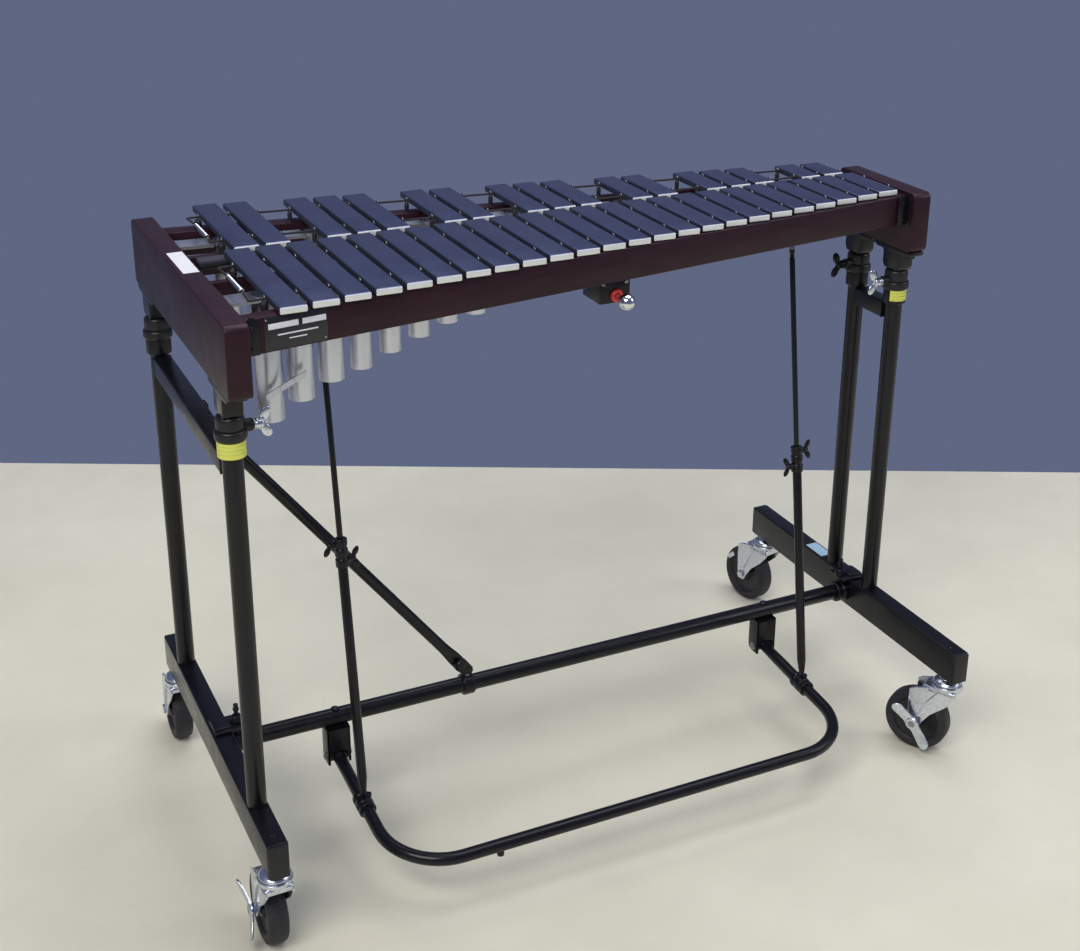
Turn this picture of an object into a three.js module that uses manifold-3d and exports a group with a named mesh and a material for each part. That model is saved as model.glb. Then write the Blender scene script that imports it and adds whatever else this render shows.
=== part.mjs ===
// A pedal-damped keyboard of 41 metal bars on a rolling, height-adjustable stand.
// Millimetres, +Z up. X runs along the keyboard from the low end (-X) to the high end (+X),
// the player stands at -Y, and the origin is on the floor below the middle of the stand.
import * as THREE from "three";
import { mergeVertices } from "three/addons/utils/BufferGeometryUtils.js";
import Module from "manifold-3d";

const wasm = await Module();
wasm.setup();

// ---- Driving dimensions ----------------------------------------------------------------

const GAP = 0.3; // clearance between neighbouring pieces

// Stand
const LEG_X = 528; // each leg frame stands this far from the middle
const BEAM = { width: 28, height: 50, length: 565, top: 187.5 };
const POST_Y = { left: { front: -187, rear: 194 }, right: { front: -47, rear: 49 } };
const POST_RADIUS = 12.7;
const BORE_RADIUS = 11.3;
const INNER_TUBE_RADIUS = 11;
const INNER_TUBE_BOTTOM = 560;
const SLEEVE = { radius: 17, bottom: 674.5 };
const RING = { radius: 19.8, bottom: 698 };
const COLLAR = { radius: 17.2, bottom: 711, top: 728 };
const SADDLE = { halfWidth: 12.5, foot: 16, waist: 20, waistZ: 736, flange: 44, flangeZ: 756 };
const BOSS = { radius: 8, reach: 27, z: 711 }; // lobe of the collar that holds the wing bolt
const CROSSBAR = { width: 25, bottom: 648, top: 674 };
const STRETCHER = { radius: 12, z: 161.5, flange: 18, flangeLength: 20, collar: 16 };
const BRACE = { radius: 8, topX: -505, topZ: 628, footX: -171, footZ: 198, collarX: -160 };

// Pedal and its push rods
const PEDAL_X = { left: -363, right: 357 };
const PEDAL = { pivotY: -3, pivotZ: 100, frontY: -264, frontZ: 77, tube: 9, bend: 88 };
const HANGER = { width: 34, rearY: 12, frontY: -14, bottom: 90, wall: 3, notch: 13.4 };
const EYE = { radius: 9, half: 13, pin: 4 };
const ROD = {
  footY: -117,
  footZ: 105,
  topY: -14,
  topZ: 795,
  lowerRadius: 6.75,
  boreRadius: 4.4,
  upperRadius: 4,
};
const COUPLER = { radius: 9, from: 333, to: 373 }; // measured along the rod from its foot
const UPPER_ROD_FROM = 250;

// Casters
const CASTER_Y = 255;
const CASTER = { trail: 40, wheelRadius: 50, wheelWidth: 28, axle: 5, forkHalf: 19 };
const LEVER = { reach: 42, half: 9, flat: 12, lift: 9, thickness: 3.5, tilt: 0.82 };
const CASTER_HEADING = { front_left: 90, rear_left: 89, front_right: 121, rear_right: 100 };

// Wooden frame
const PANEL = { inner: 513, thickness: 29, bottom: 765, top: 855, round: 9 };
const PANEL_Y = { left: [-248, 242], right: [-94, 93] };
const FRONT_RAIL = { line: [-217, -75], thickness: 22, bottom: 806, top: 849.4 };
const REAR_RAIL = { front: [209, 86], rear: [238, 98], bottom: 804, top: 838 };
const INNER_RAIL = { width: 10, bottom: 812, top: 838 };
const BRACKET_WIDTH = 18;
const NODE_SHARE = 0.224; // a free bar rests this share of its length in from each end

// Bars. Each edge holds its y values at the inner faces of the left and right end panels,
// and the x values between which the row's cord runs.
const NATURAL_ROW = { front: [-226.7, -66.3], rear: [30, 42.2], cord: [-489, 503] };
const ACCIDENTAL_ROW = { front: [35.5, 49.2], rear: [268.9, 110], cord: [-470, 492] };
const BAR = { width: 33.6, thickness: 9, top: 859, pitch: 40.65, firstX: -453, chamfer: 2.2 };
const ACCIDENTALS = { spread: 1.0145, shift: 1.5 }; // wider spacing about the middle, and offset
const NATURAL_COUNT = 24;
const NATURAL_SEMITONES = [0, 2, 4, 5, 7, 9, 11];
const GAPS_WITHOUT_ACCIDENTAL = [2, 6]; // within an octave, counted from its first natural
const CORD_RADIUS = 1.5;
const PIN = { width: 3, depth: 2 };

// Resonators
const RESONATOR = { longest: 184, mouth: 21, shortest: 14, top: 837, wall: 1.4, floor: 2 };
const RESONATOR_RADII = { wide: 16.8, middle: 14.3, narrow: 9.6, wideCount: 3, narrowFrom: 28 };
const STRIP = { natural: [18, 18], accidental: [17, 6.5], thickness: 4, drop: 1 }; // half widths

// Damper bar and its control
const DAMPER = { width: 22, bottom: 838.6, top: 849.6, from: -502, to: 504 };
const CONTROL = { left: -18, right: 27, face: -131, depth: 50, bottom: 772 };
const KNOB = { x: 6, z: 783, radius: 11, reach: 31, shaft: 4, collar: 9 };

// ---- Materials -------------------------------------------------------------------------

const material = (color, roughness, metalness) =>
  new THREE.MeshStandardMaterial({ color, roughness, metalness });
const blackPaint = () => material(0x15151a, 0.45, 0.2);
const blackPlastic = () => material(0x101014, 0.5, 0);
const zinc = () => material(0xb9bdc4, 0.35, 0.9);
const lacqueredWood = () => material(0x33141c, 0.35, 0);
const barMetal = () => material(0xb5bcc8, 0.3, 1);
const aluminium = () => material(0xadb0bb, 0.45, 0.9);
const rubber = () => material(0x17171a, 0.8, 0);

// ---- Solids ----------------------------------------------------------------------------

// A closed geometry as a manifold-3d solid.
function solidOf(geometry) {
  const bare = geometry.clone();
  bare.deleteAttribute("normal");
  bare.deleteAttribute("uv");
  const merged = mergeVertices(bare, 1e-4);
  return new wasm.Manifold(
    new wasm.Mesh({
      numProp: 3,
      vertProperties: merged.attributes.position.array,
      triVerts: new Uint32Array(merged.index.array),
    }),
  );
}

// A manifold-3d solid as a geometry.
function geometryOf(solid) {
  const mesh = solid.getMesh();
  const geometry = new THREE.BufferGeometry();
  geometry.setAttribute("position", new THREE.BufferAttribute(mesh.vertProperties, 3));
  geometry.setIndex(new THREE.BufferAttribute(mesh.triVerts, 1));
  geometry.computeVertexNormals();
  return geometry;
}

const join = (...pieces) =>
  geometryOf(pieces.map(solidOf).reduce((whole, piece) => whole.add(piece)));
const cut = (piece, ...tools) =>
  geometryOf(tools.map(solidOf).reduce((whole, tool) => whole.subtract(tool), solidOf(piece)));

const vector = (x, y, z) => new THREE.Vector3(x, y, z);

function block(x0, x1, y0, y1, z0, z1) {
  const geometry = new THREE.BoxGeometry(x1 - x0, y1 - y0, z1 - z0);
  return geometry.translate((x0 + x1) / 2, (y0 + y1) / 2, (z0 + z1) / 2);
}

// Turns a geometry built around +Y so that +Y points from one point to another, starting at it.
function aim(geometry, from, to) {
  const direction = to.clone().sub(from).normalize();
  const turn = new THREE.Quaternion().setFromUnitVectors(vector(0, 1, 0), direction);
  return geometry.applyQuaternion(turn).translate(from.x, from.y, from.z);
}

function rod(from, to, radius, sides = 12) {
  const length = from.distanceTo(to);
  const geometry = new THREE.CylinderGeometry(radius, radius, length, sides);
  return aim(geometry.translate(0, length / 2, 0), from, to);
}

// A turned piece: the profile lists [radius, distance from the start] anticlockwise.
function turned(profile, from, to, sides = 16) {
  const points = profile.map(([r, h]) => new THREE.Vector2(r, h));
  return aim(new THREE.LatheGeometry(points, sides), from, to);
}

// Bases that carry an outline drawn in two axes into space, extruded along the third.
const PLAN = new THREE.Matrix4(); // outline in X, Y, extruded along +Z
const SIDE = new THREE.Matrix4().makeBasis(vector(0, 1, 0), vector(0, 0, 1), vector(1, 0, 0));
const FRONT = new THREE.Matrix4().makeBasis(vector(1, 0, 0), vector(0, 0, 1), vector(0, -1, 0));

// Extrudes an outline; FRONT runs towards -Y, so its "from" and "to" are given as -y.
function prism(basis, outline, from, to, curveSegments = 3) {
  const shape = outline instanceof THREE.Shape
    ? outline
    : new THREE.Shape(outline.map(([u, v]) => new THREE.Vector2(u, v)));
  const settings = { depth: to - from, bevelEnabled: false, curveSegments };
  return new THREE.ExtrudeGeometry(shape, settings).translate(0, 0, from).applyMatrix4(basis);
}

// A rectangle with round corners, from (u0, v0) to (u1, v1).
function roundedRectangle(u0, u1, v0, v1, radius) {
  const shape = new THREE.Shape();
  shape.moveTo(u0 + radius, v0);
  shape.lineTo(u1 - radius, v0);
  shape.absarc(u1 - radius, v0 + radius, radius, -Math.PI / 2, 0);
  shape.lineTo(u1, v1 - radius);
  shape.absarc(u1 - radius, v1 - radius, radius, 0, Math.PI / 2);
  shape.lineTo(u0 + radius, v1);
  shape.absarc(u0 + radius, v1 - radius, radius, Math.PI / 2, Math.PI);
  shape.lineTo(u0, v0 + radius);
  shape.absarc(u0 + radius, v0 + radius, radius, Math.PI, 1.5 * Math.PI);
  return shape;
}

// The y of a line at x, from its y values at the two end panels' inner faces.
const lineY = ([left, right], x) => left + ((right - left) * (x + PANEL.inner)) / (2 * PANEL.inner);
const blend = (a, b, share) => a.map((value, i) => value + (b[i] - value) * share);

const group = new THREE.Group();

function add(name, geometry, look) {
  const mesh = new THREE.Mesh(geometry, look);
  mesh.name = name;
  group.add(mesh);
  return mesh;
}

// ---- Leg frames ------------------------------------------------------------------------

function beam(x) {
  const half = BEAM.width / 2;
  const section = roundedRectangle(x - half, x + half, BEAM.top - BEAM.height, BEAM.top, 2);
  return prism(FRONT, section, -BEAM.length / 2, BEAM.length / 2, 1);
}

// Outer tube with the sleeve, ring and clamping collar around its top. The collar's boss
// points along (dx, dy).
function post(x, y, [dx, dy]) {
  const bottom = BEAM.top + GAP;
  const profile = [
    [BORE_RADIUS, 0],
    [POST_RADIUS, 0],
    [POST_RADIUS, SLEEVE.bottom - bottom],
    [SLEEVE.radius, SLEEVE.bottom - bottom],
    [SLEEVE.radius, RING.bottom - bottom],
    [RING.radius, RING.bottom + 3 - bottom],
    [RING.radius, COLLAR.bottom - 3 - bottom],
    [COLLAR.radius - 1, COLLAR.bottom - bottom],
    [COLLAR.radius, COLLAR.bottom + 2 - bottom],
    [COLLAR.radius, COLLAR.top - 2 - bottom],
    [COLLAR.radius - 2, COLLAR.top - bottom],
    [BORE_RADIUS, COLLAR.top - bottom],
    [BORE_RADIUS, 0],
  ];
  const onBoss = (distance) => vector(x + dx * distance, y + dy * distance, BOSS.z);
  return join(
    turned(profile, vector(x, y, bottom), vector(x, y, COLLAR.top), 12),
    rod(onBoss(POST_RADIUS + 0.5), onBoss(BOSS.reach), BOSS.radius, 10),
  );
}

// Inner tube with the saddle that is screwed under an end panel.
function innerTube(x, y) {
  const seat = PANEL.bottom - GAP;
  const saddle = [
    [y - SADDLE.foot, COLLAR.top + GAP],
    [y + SADDLE.foot, COLLAR.top + GAP],
    [y + SADDLE.waist, SADDLE.waistZ],
    [y + SADDLE.waist, SADDLE.flangeZ],
    [y + SADDLE.flange, SADDLE.flangeZ],
    [y + SADDLE.flange, seat],
    [y - SADDLE.flange, seat],
    [y - SADDLE.flange, SADDLE.flangeZ],
    [y - SADDLE.waist, SADDLE.flangeZ],
    [y - SADDLE.waist, SADDLE.waistZ],
  ];
  return join(
    rod(vector(x, y, INNER_TUBE_BOTTOM), vector(x, y, seat - 2), INNER_TUBE_RADIUS, 12),
    prism(SIDE, saddle, x - SADDLE.halfWidth, x + SADDLE.halfWidth),
  );
}

// Wing bolt that clamps the inner tube; it points along (dx, dy) and its wings stand up and down.
function wingBolt(x, y, [dx, dy]) {
  const reach = (distance, up = 0) =>
    vector(x + dx * distance, y + dy * distance, BOSS.z + up);
  const start = BOSS.reach + GAP;
  return join(
    rod(reach(start), reach(start + 8), 5, 8),
    rod(reach(start + 5), reach(start + 15), 6.8, 8),
    rod(reach(start + 12, 4), reach(start + 19, 19), 5, 6),
    rod(reach(start + 12, -4), reach(start + 21, -17), 5, 6),
  );
}

function crossbar(x, posts) {
  const half = CROSSBAR.width / 2;
  const end = POST_RADIUS + GAP;
  const from = posts.front + end;
  const to = posts.rear - end;
  const section = roundedRectangle(x - half, x + half, CROSSBAR.bottom, CROSSBAR.top, 2);
  return prism(FRONT, section, -to, -from, 1);
}

for (const [side, sign] of [["left", -1], ["right", 1]]) {
  const x = sign * LEG_X;
  add(`base_beam_${side}`, beam(x), blackPaint());
  add(`upper_crossbar_${side}`, crossbar(x, POST_Y[side]), blackPaint());
  for (const [place, y] of Object.entries(POST_Y[side])) {
    const direction = side === "left" && place === "rear" ? [0, 1] : [-sign, 0];
    add(`post_${side}_${place}`, post(x, y, direction), blackPaint());
    add(`inner_tube_${side}_${place}`, innerTube(x, y), blackPaint());
    add(`wing_bolt_${side}_${place}`, wingBolt(x, y, direction), zinc());
  }
}

// ---- Stretcher and brace ---------------------------------------------------------------

// Round stretcher with a flange at each end, a collar for the brace and its ear.
function stretcher() {
  const end = LEG_X - BEAM.width / 2 - GAP;
  const at = (x) => vector(x, 0, STRETCHER.z);
  const ear = [
    [BRACE.collarX - 9, STRETCHER.z],
    [BRACE.collarX + 9, STRETCHER.z],
    [BRACE.collarX + 9, STRETCHER.z + 24],
    [BRACE.collarX - 9, STRETCHER.z + 24],
  ];
  return join(
    rod(at(-end), at(end), STRETCHER.radius, 16),
    rod(at(-end), at(-end + STRETCHER.flangeLength), STRETCHER.flange),
    rod(at(end - STRETCHER.flangeLength), at(end), STRETCHER.flange),
    rod(at(BRACE.collarX - 9), at(BRACE.collarX + 9), STRETCHER.collar),
    prism(FRONT, ear, -3, 0),
  );
}

// Clamp on top of a beam that holds the stretcher's end, with its screw knob.
function stretcherClamp(sign) {
  const x = sign * LEG_X;
  const knobX = x - sign * 24;
  const plateEnds = [x + sign * 11, knobX - sign * 7].sort((a, b) => a - b);
  const seat = BEAM.top + GAP;
  const screwFoot = vector(knobX, 0, seat + 20);
  const screwHead = [
    [0, 0],
    [4, 0],
    [5.5, 4],
    [2, 12],
    [0, 13],
  ];
  return join(
    block(...plateEnds, -20, 20, seat, seat + 7),
    rod(vector(knobX, 0, seat + 4), vector(knobX, 0, seat + 15), 8, 10),
    rod(vector(knobX, 0, seat + 4), vector(knobX, 0, seat + 22), 4.5, 8),
    turned(screwHead, screwFoot, vector(knobX, 0, seat + 33), 8),
  );
}

// Diagonal tube from the middle of the left upper crossbar to the stretcher's collar.
function brace() {
  const plateX = -LEG_X + CROSSBAR.width / 2 + GAP;
  const top = vector(BRACE.topX, 0, BRACE.topZ);
  const foot = vector(BRACE.footX, 0, BRACE.footZ);
  const lug = [
    [BRACE.footX - 13, BRACE.footZ + 2],
    [BRACE.collarX - 6, STRETCHER.z + 18],
    [BRACE.collarX + 5, STRETCHER.z + 17],
    [BRACE.collarX + 9, STRETCHER.z + 28],
    [BRACE.footX + 5, BRACE.footZ + 9],
  ];
  return join(
    rod(top, foot, BRACE.radius),
    block(plateX, plateX + 4, -10, 10, BRACE.topZ - 6, CROSSBAR.top - 3),
    block(plateX, BRACE.topX + 3, -5, 5, BRACE.topZ - 4, BRACE.topZ + 12),
    prism(FRONT, lug, GAP, 6),
  );
}

add("stretcher", stretcher(), blackPaint());
add("stretcher_clamp_left", stretcherClamp(-1), blackPaint());
add("stretcher_clamp_right", stretcherClamp(1), blackPaint());
add("diagonal_brace", brace(), blackPaint());

// ---- Casters ---------------------------------------------------------------------------

// Each caster is built with its swivel axis on the Z axis and its wheel trailing towards +X.
function casterFork() {
  const { trail, axle, forkHalf, wheelRadius } = CASTER;
  const top = BEAM.top - BEAM.height - GAP;
  const leg = [
    [trail + 9, wheelRadius - 6],
    [trail + 11, 107],
    [20, 117],
    [-20, 117],
    [-21, 107],
    [trail - 10, wheelRadius - 2],
    [trail - 6, wheelRadius - 9],
    [trail + 4, wheelRadius - 10],
  ].reverse();
  const plate = (y) => prism(FRONT, leg, y, y + 3);
  const raceway = [
    [0, 0],
    [21, 0],
    [23, 3],
    [23, 8],
    [19, 11],
    [12, 12],
    [12, top - 116],
    [0, top - 116],
  ];
  return join(
    turned(raceway, vector(0, 0, 116), vector(0, 0, top), 10),
    block(-18, 20, -forkHalf - 1, forkHalf + 1, 109, 117),
    plate(forkHalf - 3),
    plate(-forkHalf),
    rod(vector(trail, -forkHalf - 3, wheelRadius), vector(trail, forkHalf + 3.8, wheelRadius), axle, 10),
  );
}

function casterWheel() {
  const half = CASTER.wheelWidth / 2;
  const profile = [
    [CASTER.axle + GAP, -half],
    [12, -half],
    [15, 4 - half],
    [34, 4 - half],
    [37, -half],
    [46, -half],
    [50, 5 - half],
    [50, half - 5],
    [46, half],
    [37, half],
    [34, half - 4],
    [15, half - 4],
    [12, half],
    [CASTER.axle + GAP, half],
    [CASTER.axle + GAP, -half],
  ];
  const wheel = turned(profile, vector(0, 0, 0), vector(0, 1, 0), 16);
  return wheel.translate(CASTER.trail, 0, CASTER.wheelRadius);
}

// Two-lobed lever on the end of the axle; its tabs are bent away from the wheel.
function brakeLever() {
  const y = CASTER.forkHalf + 4 + GAP;
  const { reach, half, flat, lift, thickness } = LEVER;
  const shape = new THREE.Shape();
  shape.absarc(reach - half, 0, half, -Math.PI / 2, Math.PI / 2);
  shape.lineTo(0, half - 1);
  shape.absarc(half - reach, 0, half, Math.PI / 2, 1.5 * Math.PI);
  shape.lineTo(0, 1 - half);
  shape.closePath();
  const outline = prism(FRONT, shape, -y - 20, -y + 1, 4);
  const bent = [
    [-reach - 1, y + lift],
    [-flat, y],
    [flat, y],
    [reach + 1, y + lift],
    [reach + 1, y + lift + thickness],
    [flat - 1, y + thickness],
    [1 - flat, y + thickness],
    [-reach - 1, y + lift + thickness],
  ];
  const sheet = prism(PLAN, bent, -half - 1, half + 1);
  const lever = geometryOf(solidOf(sheet).intersect(solidOf(outline))).rotateY(-LEVER.tilt);
  return lever.translate(CASTER.trail, 0, CASTER.wheelRadius);
}

for (const [place, heading] of Object.entries(CASTER_HEADING)) {
  const [row, side] = place.split("_");
  const turn = THREE.MathUtils.degToRad(heading);
  const caster = new THREE.Group();
  caster.position.set(side === "left" ? -LEG_X : LEG_X, row === "front" ? -CASTER_Y : CASTER_Y, 0);
  caster.rotation.z = turn;
  group.add(caster);
  caster.add(add(`caster_fork_${place}`, casterFork(), zinc()));
  caster.add(add(`caster_wheel_${place}`, casterWheel(), rubber()));
  if (row === "front") caster.add(add(`brake_lever_${side}`, brakeLever(), zinc()));
}

// ---- Pedal and push rods ---------------------------------------------------------------

// Channel, open to the rear, that hangs under the stretcher and carries one end of the pedal.
function hanger(x) {
  const { width, rearY, frontY, bottom, wall, notch } = HANGER;
  const top = STRETCHER.z - STRETCHER.radius - GAP;
  const outer = block(x - width / 2, x + width / 2, frontY, rearY, bottom, top);
  const half = width / 2 - wall;
  const inside = block(x - half, x + half, frontY + wall, rearY + 1, bottom - 1, top - wall);
  const opening = block(x - notch, x + notch, frontY - 1, frontY + wall + 1, bottom - 1, 111);
  const pin = vector(0, PEDAL.pivotY, PEDAL.pivotZ);
  const hole = rod(pin.clone().setX(x - width), pin.clone().setX(x + width), EYE.pin + GAP, 10);
  return cut(outer, inside, opening, hole);
}

const pedalDrop = (PEDAL.pivotZ - PEDAL.frontZ) / (PEDAL.pivotY - PEDAL.frontY);
const pedalZ = (y) => PEDAL.pivotZ - pedalDrop * (PEDAL.pivotY - y);

const QUARTER_ARC = 0.5523; // handle length of a cubic curve that follows a quarter circle

// U-shaped pedal tube; its two ends are eyes on the hangers' pins.
function pedal() {
  const { pivotY, pivotZ, frontY, tube: radius, bend } = PEDAL;
  const at = (x, y) => vector(x, y, pedalZ(y));
  const pinEnd = HANGER.width / 2 - 0.4;
  const pieces = [];
  for (const x of Object.values(PEDAL_X)) {
    const inward = -Math.sign(x);
    const bendPath = new THREE.CubicBezierCurve3(
      at(x, frontY + bend),
      at(x, frontY + bend * (1 - QUARTER_ARC)),
      at(x + inward * bend * (1 - QUARTER_ARC), frontY),
      at(x + inward * bend, frontY),
    );
    const section = new THREE.Shape().absarc(0, 0, radius, 0, 2 * Math.PI);
    pieces.push(
      rod(at(x, pivotY - 4), at(x, frontY + bend - 0.5), radius, 10),
      new THREE.ExtrudeGeometry(section, {
        steps: 6,
        curveSegments: 5,
        bevelEnabled: false,
        extrudePath: bendPath,
      }),
      rod(vector(x - EYE.half, pivotY, pivotZ), vector(x + EYE.half, pivotY, pivotZ), EYE.radius),
      rod(vector(x - pinEnd, pivotY, pivotZ), vector(x + pinEnd, pivotY, pivotZ), EYE.pin, 10),
      rod(at(x, ROD.footY + 15), at(x, ROD.footY - 17), 12.5),
    );
  }
  const barFrom = at(PEDAL_X.left + bend - 0.5, frontY);
  const barTo = at(PEDAL_X.right - bend + 0.5, frontY);
  pieces.push(rod(barFrom, barTo, radius, 10));
  const stop = at(-222, frontY);
  pieces.push(rod(stop, stop.clone().setZ(stop.z - 16), 5, 8));
  return join(...pieces);
}

const rodDirection = vector(0, ROD.topY - ROD.footY, ROD.topZ - ROD.footZ).normalize();
const rodLength = Math.hypot(ROD.topY - ROD.footY, ROD.topZ - ROD.footZ);
const alongRod = (x, distance) =>
  vector(x, ROD.footY, ROD.footZ).addScaledVector(rodDirection, distance);

// Lower push rod: a tube with the coupler that clamps the upper rod by two wing screws.
function lowerRod(x) {
  const upperSide = Math.sign(x);
  const outside = join(
    rod(alongRod(x, 0), alongRod(x, COUPLER.from + 2), ROD.lowerRadius, 10),
    rod(alongRod(x, COUPLER.from), alongRod(x, COUPLER.to), COUPLER.radius, 10),
    ...wingScrew(x, upperSide, COUPLER.to - 8),
    ...wingScrew(x, -upperSide, COUPLER.from + 10),
  );
  const bore = rod(alongRod(x, UPPER_ROD_FROM - 10), alongRod(x, COUPLER.to + 5), ROD.boreRadius, 10);
  return cut(outside, bore);
}

// Screw with two short wings, standing out of the coupler along X.
function wingScrew(x, side, distance) {
  const hub = (reach) => alongRod(x, distance).add(vector(side * reach, 0, 0));
  const lobe = (along) => alongRod(x, distance + along).add(vector(side * 23, 0, 0));
  return [
    rod(hub(6), hub(18), 4, 8),
    rod(hub(16), lobe(13), 3.5, 6),
    rod(hub(16), lobe(-13), 3.5, 6),
  ];
}

const upperRod = (x) => rod(alongRod(x, UPPER_ROD_FROM), alongRod(x, rodLength), ROD.upperRadius, 8);

add("pedal", pedal(), blackPaint());
for (const [side, x] of Object.entries(PEDAL_X)) {
  add(`pedal_hanger_${side}`, hanger(x), blackPaint());
  add(`push_rod_lower_${side}`, lowerRod(x), blackPaint());
  add(`push_rod_upper_${side}`, upperRod(x), blackPaint());
}

// ---- Wooden frame ----------------------------------------------------------------------

function endPanel(sign, [front, rear]) {
  const outline = roundedRectangle(front, rear, PANEL.bottom, PANEL.top, PANEL.round);
  const inner = sign * PANEL.inner;
  const outer = inner + sign * PANEL.thickness;
  return prism(SIDE, outline, Math.min(inner, outer), Math.max(inner, outer));
}

// A rail between the end panels, given the lines of its front and rear faces.
function rail(front, rear, bottom, top) {
  const end = PANEL.inner - GAP;
  const plan = [
    [-end, lineY(front, -end)],
    [end, lineY(front, end)],
    [end, lineY(rear, end)],
    [-end, lineY(rear, -end)],
  ];
  return prism(PLAN, plan, bottom, top);
}

const nodeLine = (row, fromFront) => blend(row.front, row.rear, fromFront);
const naturalX = (i) => BAR.firstX + i * BAR.pitch;
const naturals = Array.from({ length: NATURAL_COUNT }, (_, i) => i);
const hasAccidental = (i) => !GAPS_WITHOUT_ACCIDENTAL.includes(i % 7) && i + 1 < NATURAL_COUNT;
const accidentals = naturals.filter(hasAccidental);
const accidentalX = (i) => (naturalX(i) + BAR.pitch / 2) * ACCIDENTALS.spread + ACCIDENTALS.shift;

// Flat upright pins on a rail, one in each gap between bars, that hold up the bars' cord.
function pins(line, centres, bottom) {
  const places = new Set();
  const half = (centres[1] - centres[0]) / 2; // the first two bars of each row are neighbours
  for (const x of centres) {
    places.add(Math.round(x - half));
    places.add(Math.round(x + half));
  }
  const top = BAR.top - BAR.thickness / 2 - CORD_RADIUS - GAP;
  return [...places].map((x) => {
    const y = lineY(line, x);
    return block(x - PIN.width / 2, x + PIN.width / 2, y - PIN.depth / 2, y + PIN.depth / 2, bottom, top);
  });
}

function pinnedRail({ front, rear, bottom, top }, pinLine, centres) {
  return join(rail(front, rear, bottom, top), ...pins(pinLine, centres, top - 2));
}

const offsetLine = (line, amount) => line.map((y) => y + amount);

function innerRail(line, centres) {
  const front = offsetLine(line, -INNER_RAIL.width / 2);
  const rear = offsetLine(line, INNER_RAIL.width / 2);
  return pinnedRail({ ...INNER_RAIL, front, rear }, line, centres);
}

const naturalCentres = naturals.map(naturalX);
const accidentalCentres = accidentals.map(accidentalX);
const naturalFrontNode = nodeLine(NATURAL_ROW, NODE_SHARE);
const naturalRearNode = nodeLine(NATURAL_ROW, 1 - NODE_SHARE);
const accidentalFrontNode = nodeLine(ACCIDENTAL_ROW, NODE_SHARE);
const accidentalRearNode = nodeLine(ACCIDENTAL_ROW, 1 - NODE_SHARE);

add("end_panel_left", endPanel(-1, PANEL_Y.left), lacqueredWood());
add("end_panel_right", endPanel(1, PANEL_Y.right), lacqueredWood());
const frontRailRear = offsetLine(FRONT_RAIL.line, FRONT_RAIL.thickness);
add("front_rail", rail(FRONT_RAIL.line, frontRailRear, FRONT_RAIL.bottom, FRONT_RAIL.top), lacqueredWood());
add("natural_front_rail", innerRail(naturalFrontNode, naturalCentres), lacqueredWood());
add("natural_rear_rail", innerRail(naturalRearNode, naturalCentres), lacqueredWood());
add("accidental_front_rail", innerRail(accidentalFrontNode, accidentalCentres), lacqueredWood());
add("rear_rail", pinnedRail(REAR_RAIL, accidentalRearNode, accidentalCentres), lacqueredWood());

// Metal angle in the corner between the front rail and an end panel, with an arched top.
function cornerBracket(sign) {
  const wall = sign * (PANEL.inner - GAP);
  const width = BRACKET_WIDTH;
  const x0 = Math.min(wall, wall - sign * width);
  const face = lineY(FRONT_RAIL.line, wall - (sign * width) / 2) - GAP;
  const spread = (Math.abs(FRONT_RAIL.line[1] - FRONT_RAIL.line[0]) / (2 * PANEL.inner)) * width;
  const y = face - spread / 2 - 1.5;
  const outline = new THREE.Shape();
  outline.moveTo(x0, FRONT_RAIL.bottom + 1);
  outline.lineTo(x0 + width, FRONT_RAIL.bottom + 1);
  outline.lineTo(x0 + width, FRONT_RAIL.top - 2);
  outline.quadraticCurveTo(x0 + width / 2, FRONT_RAIL.top + 6, x0, FRONT_RAIL.top - 2);
  outline.closePath();
  const flank = Math.min(wall, wall - sign * 2);
  return join(
    prism(FRONT, outline, -y - 1, -y + 1),
    block(flank, flank + 2, y - 9, y, FRONT_RAIL.bottom + 1, FRONT_RAIL.top - 2),
  );
}

add("corner_bracket_left", cornerBracket(-1), blackPaint());
add("corner_bracket_right", cornerBracket(1), blackPaint());

// ---- Bars ------------------------------------------------------------------------------

// One bar; its section has chamfered long edges on top.
function bar(row, x) {
  const half = BAR.width / 2;
  const bottom = BAR.top - BAR.thickness;
  const section = [
    [x - half, bottom],
    [x + half, bottom],
    [x + half, BAR.top - BAR.chamfer],
    [x + half - BAR.chamfer, BAR.top],
    [x - half + BAR.chamfer, BAR.top],
    [x - half, BAR.top - BAR.chamfer],
  ];
  return prism(FRONT, section, -lineY(row.rear, x), -lineY(row.front, x));
}

const cordZ = BAR.top - BAR.thickness / 2;
const onCord = (line, x) => vector(x, lineY(line, x), cordZ);

// A run of neighbouring bars, threaded on their two cords from x0 to x1.
function barRun(row, centres, nodes, x0, x1) {
  const cords = nodes.map((line) => rod(onCord(line, x0), onCord(line, x1), CORD_RADIUS, 6));
  return join(...centres.map((x) => bar(row, x)), ...cords);
}

// The spring and the cord ends that close the two cords into one loop at the low end.
function cordEnd(nodes, x) {
  const [front, rear] = nodes.map((line) => onCord(line, x));
  const share = (amount) => front.clone().lerp(rear, amount);
  return [rod(front, rear, CORD_RADIUS, 6), rod(share(0.28), share(0.72), 3, 8)];
}

function addRow(name, row, centres, nodes, runs) {
  const [lowEnd, highEnd] = row.cord;
  runs.forEach((run, number) => {
    const chosen = centres.filter((x) => x > run[0] && x < run[1]);
    const isFirst = number === 0;
    const x0 = isFirst ? lowEnd : run[0] + GAP / 2;
    const x1 = number === runs.length - 1 ? highEnd : run[1] - GAP / 2;
    let geometry = barRun(row, chosen, nodes, x0, x1);
    if (isFirst) geometry = join(geometry, ...cordEnd(nodes, lowEnd));
    add(`${name}_${number + 1}`, geometry, barMetal());
  });
}

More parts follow.
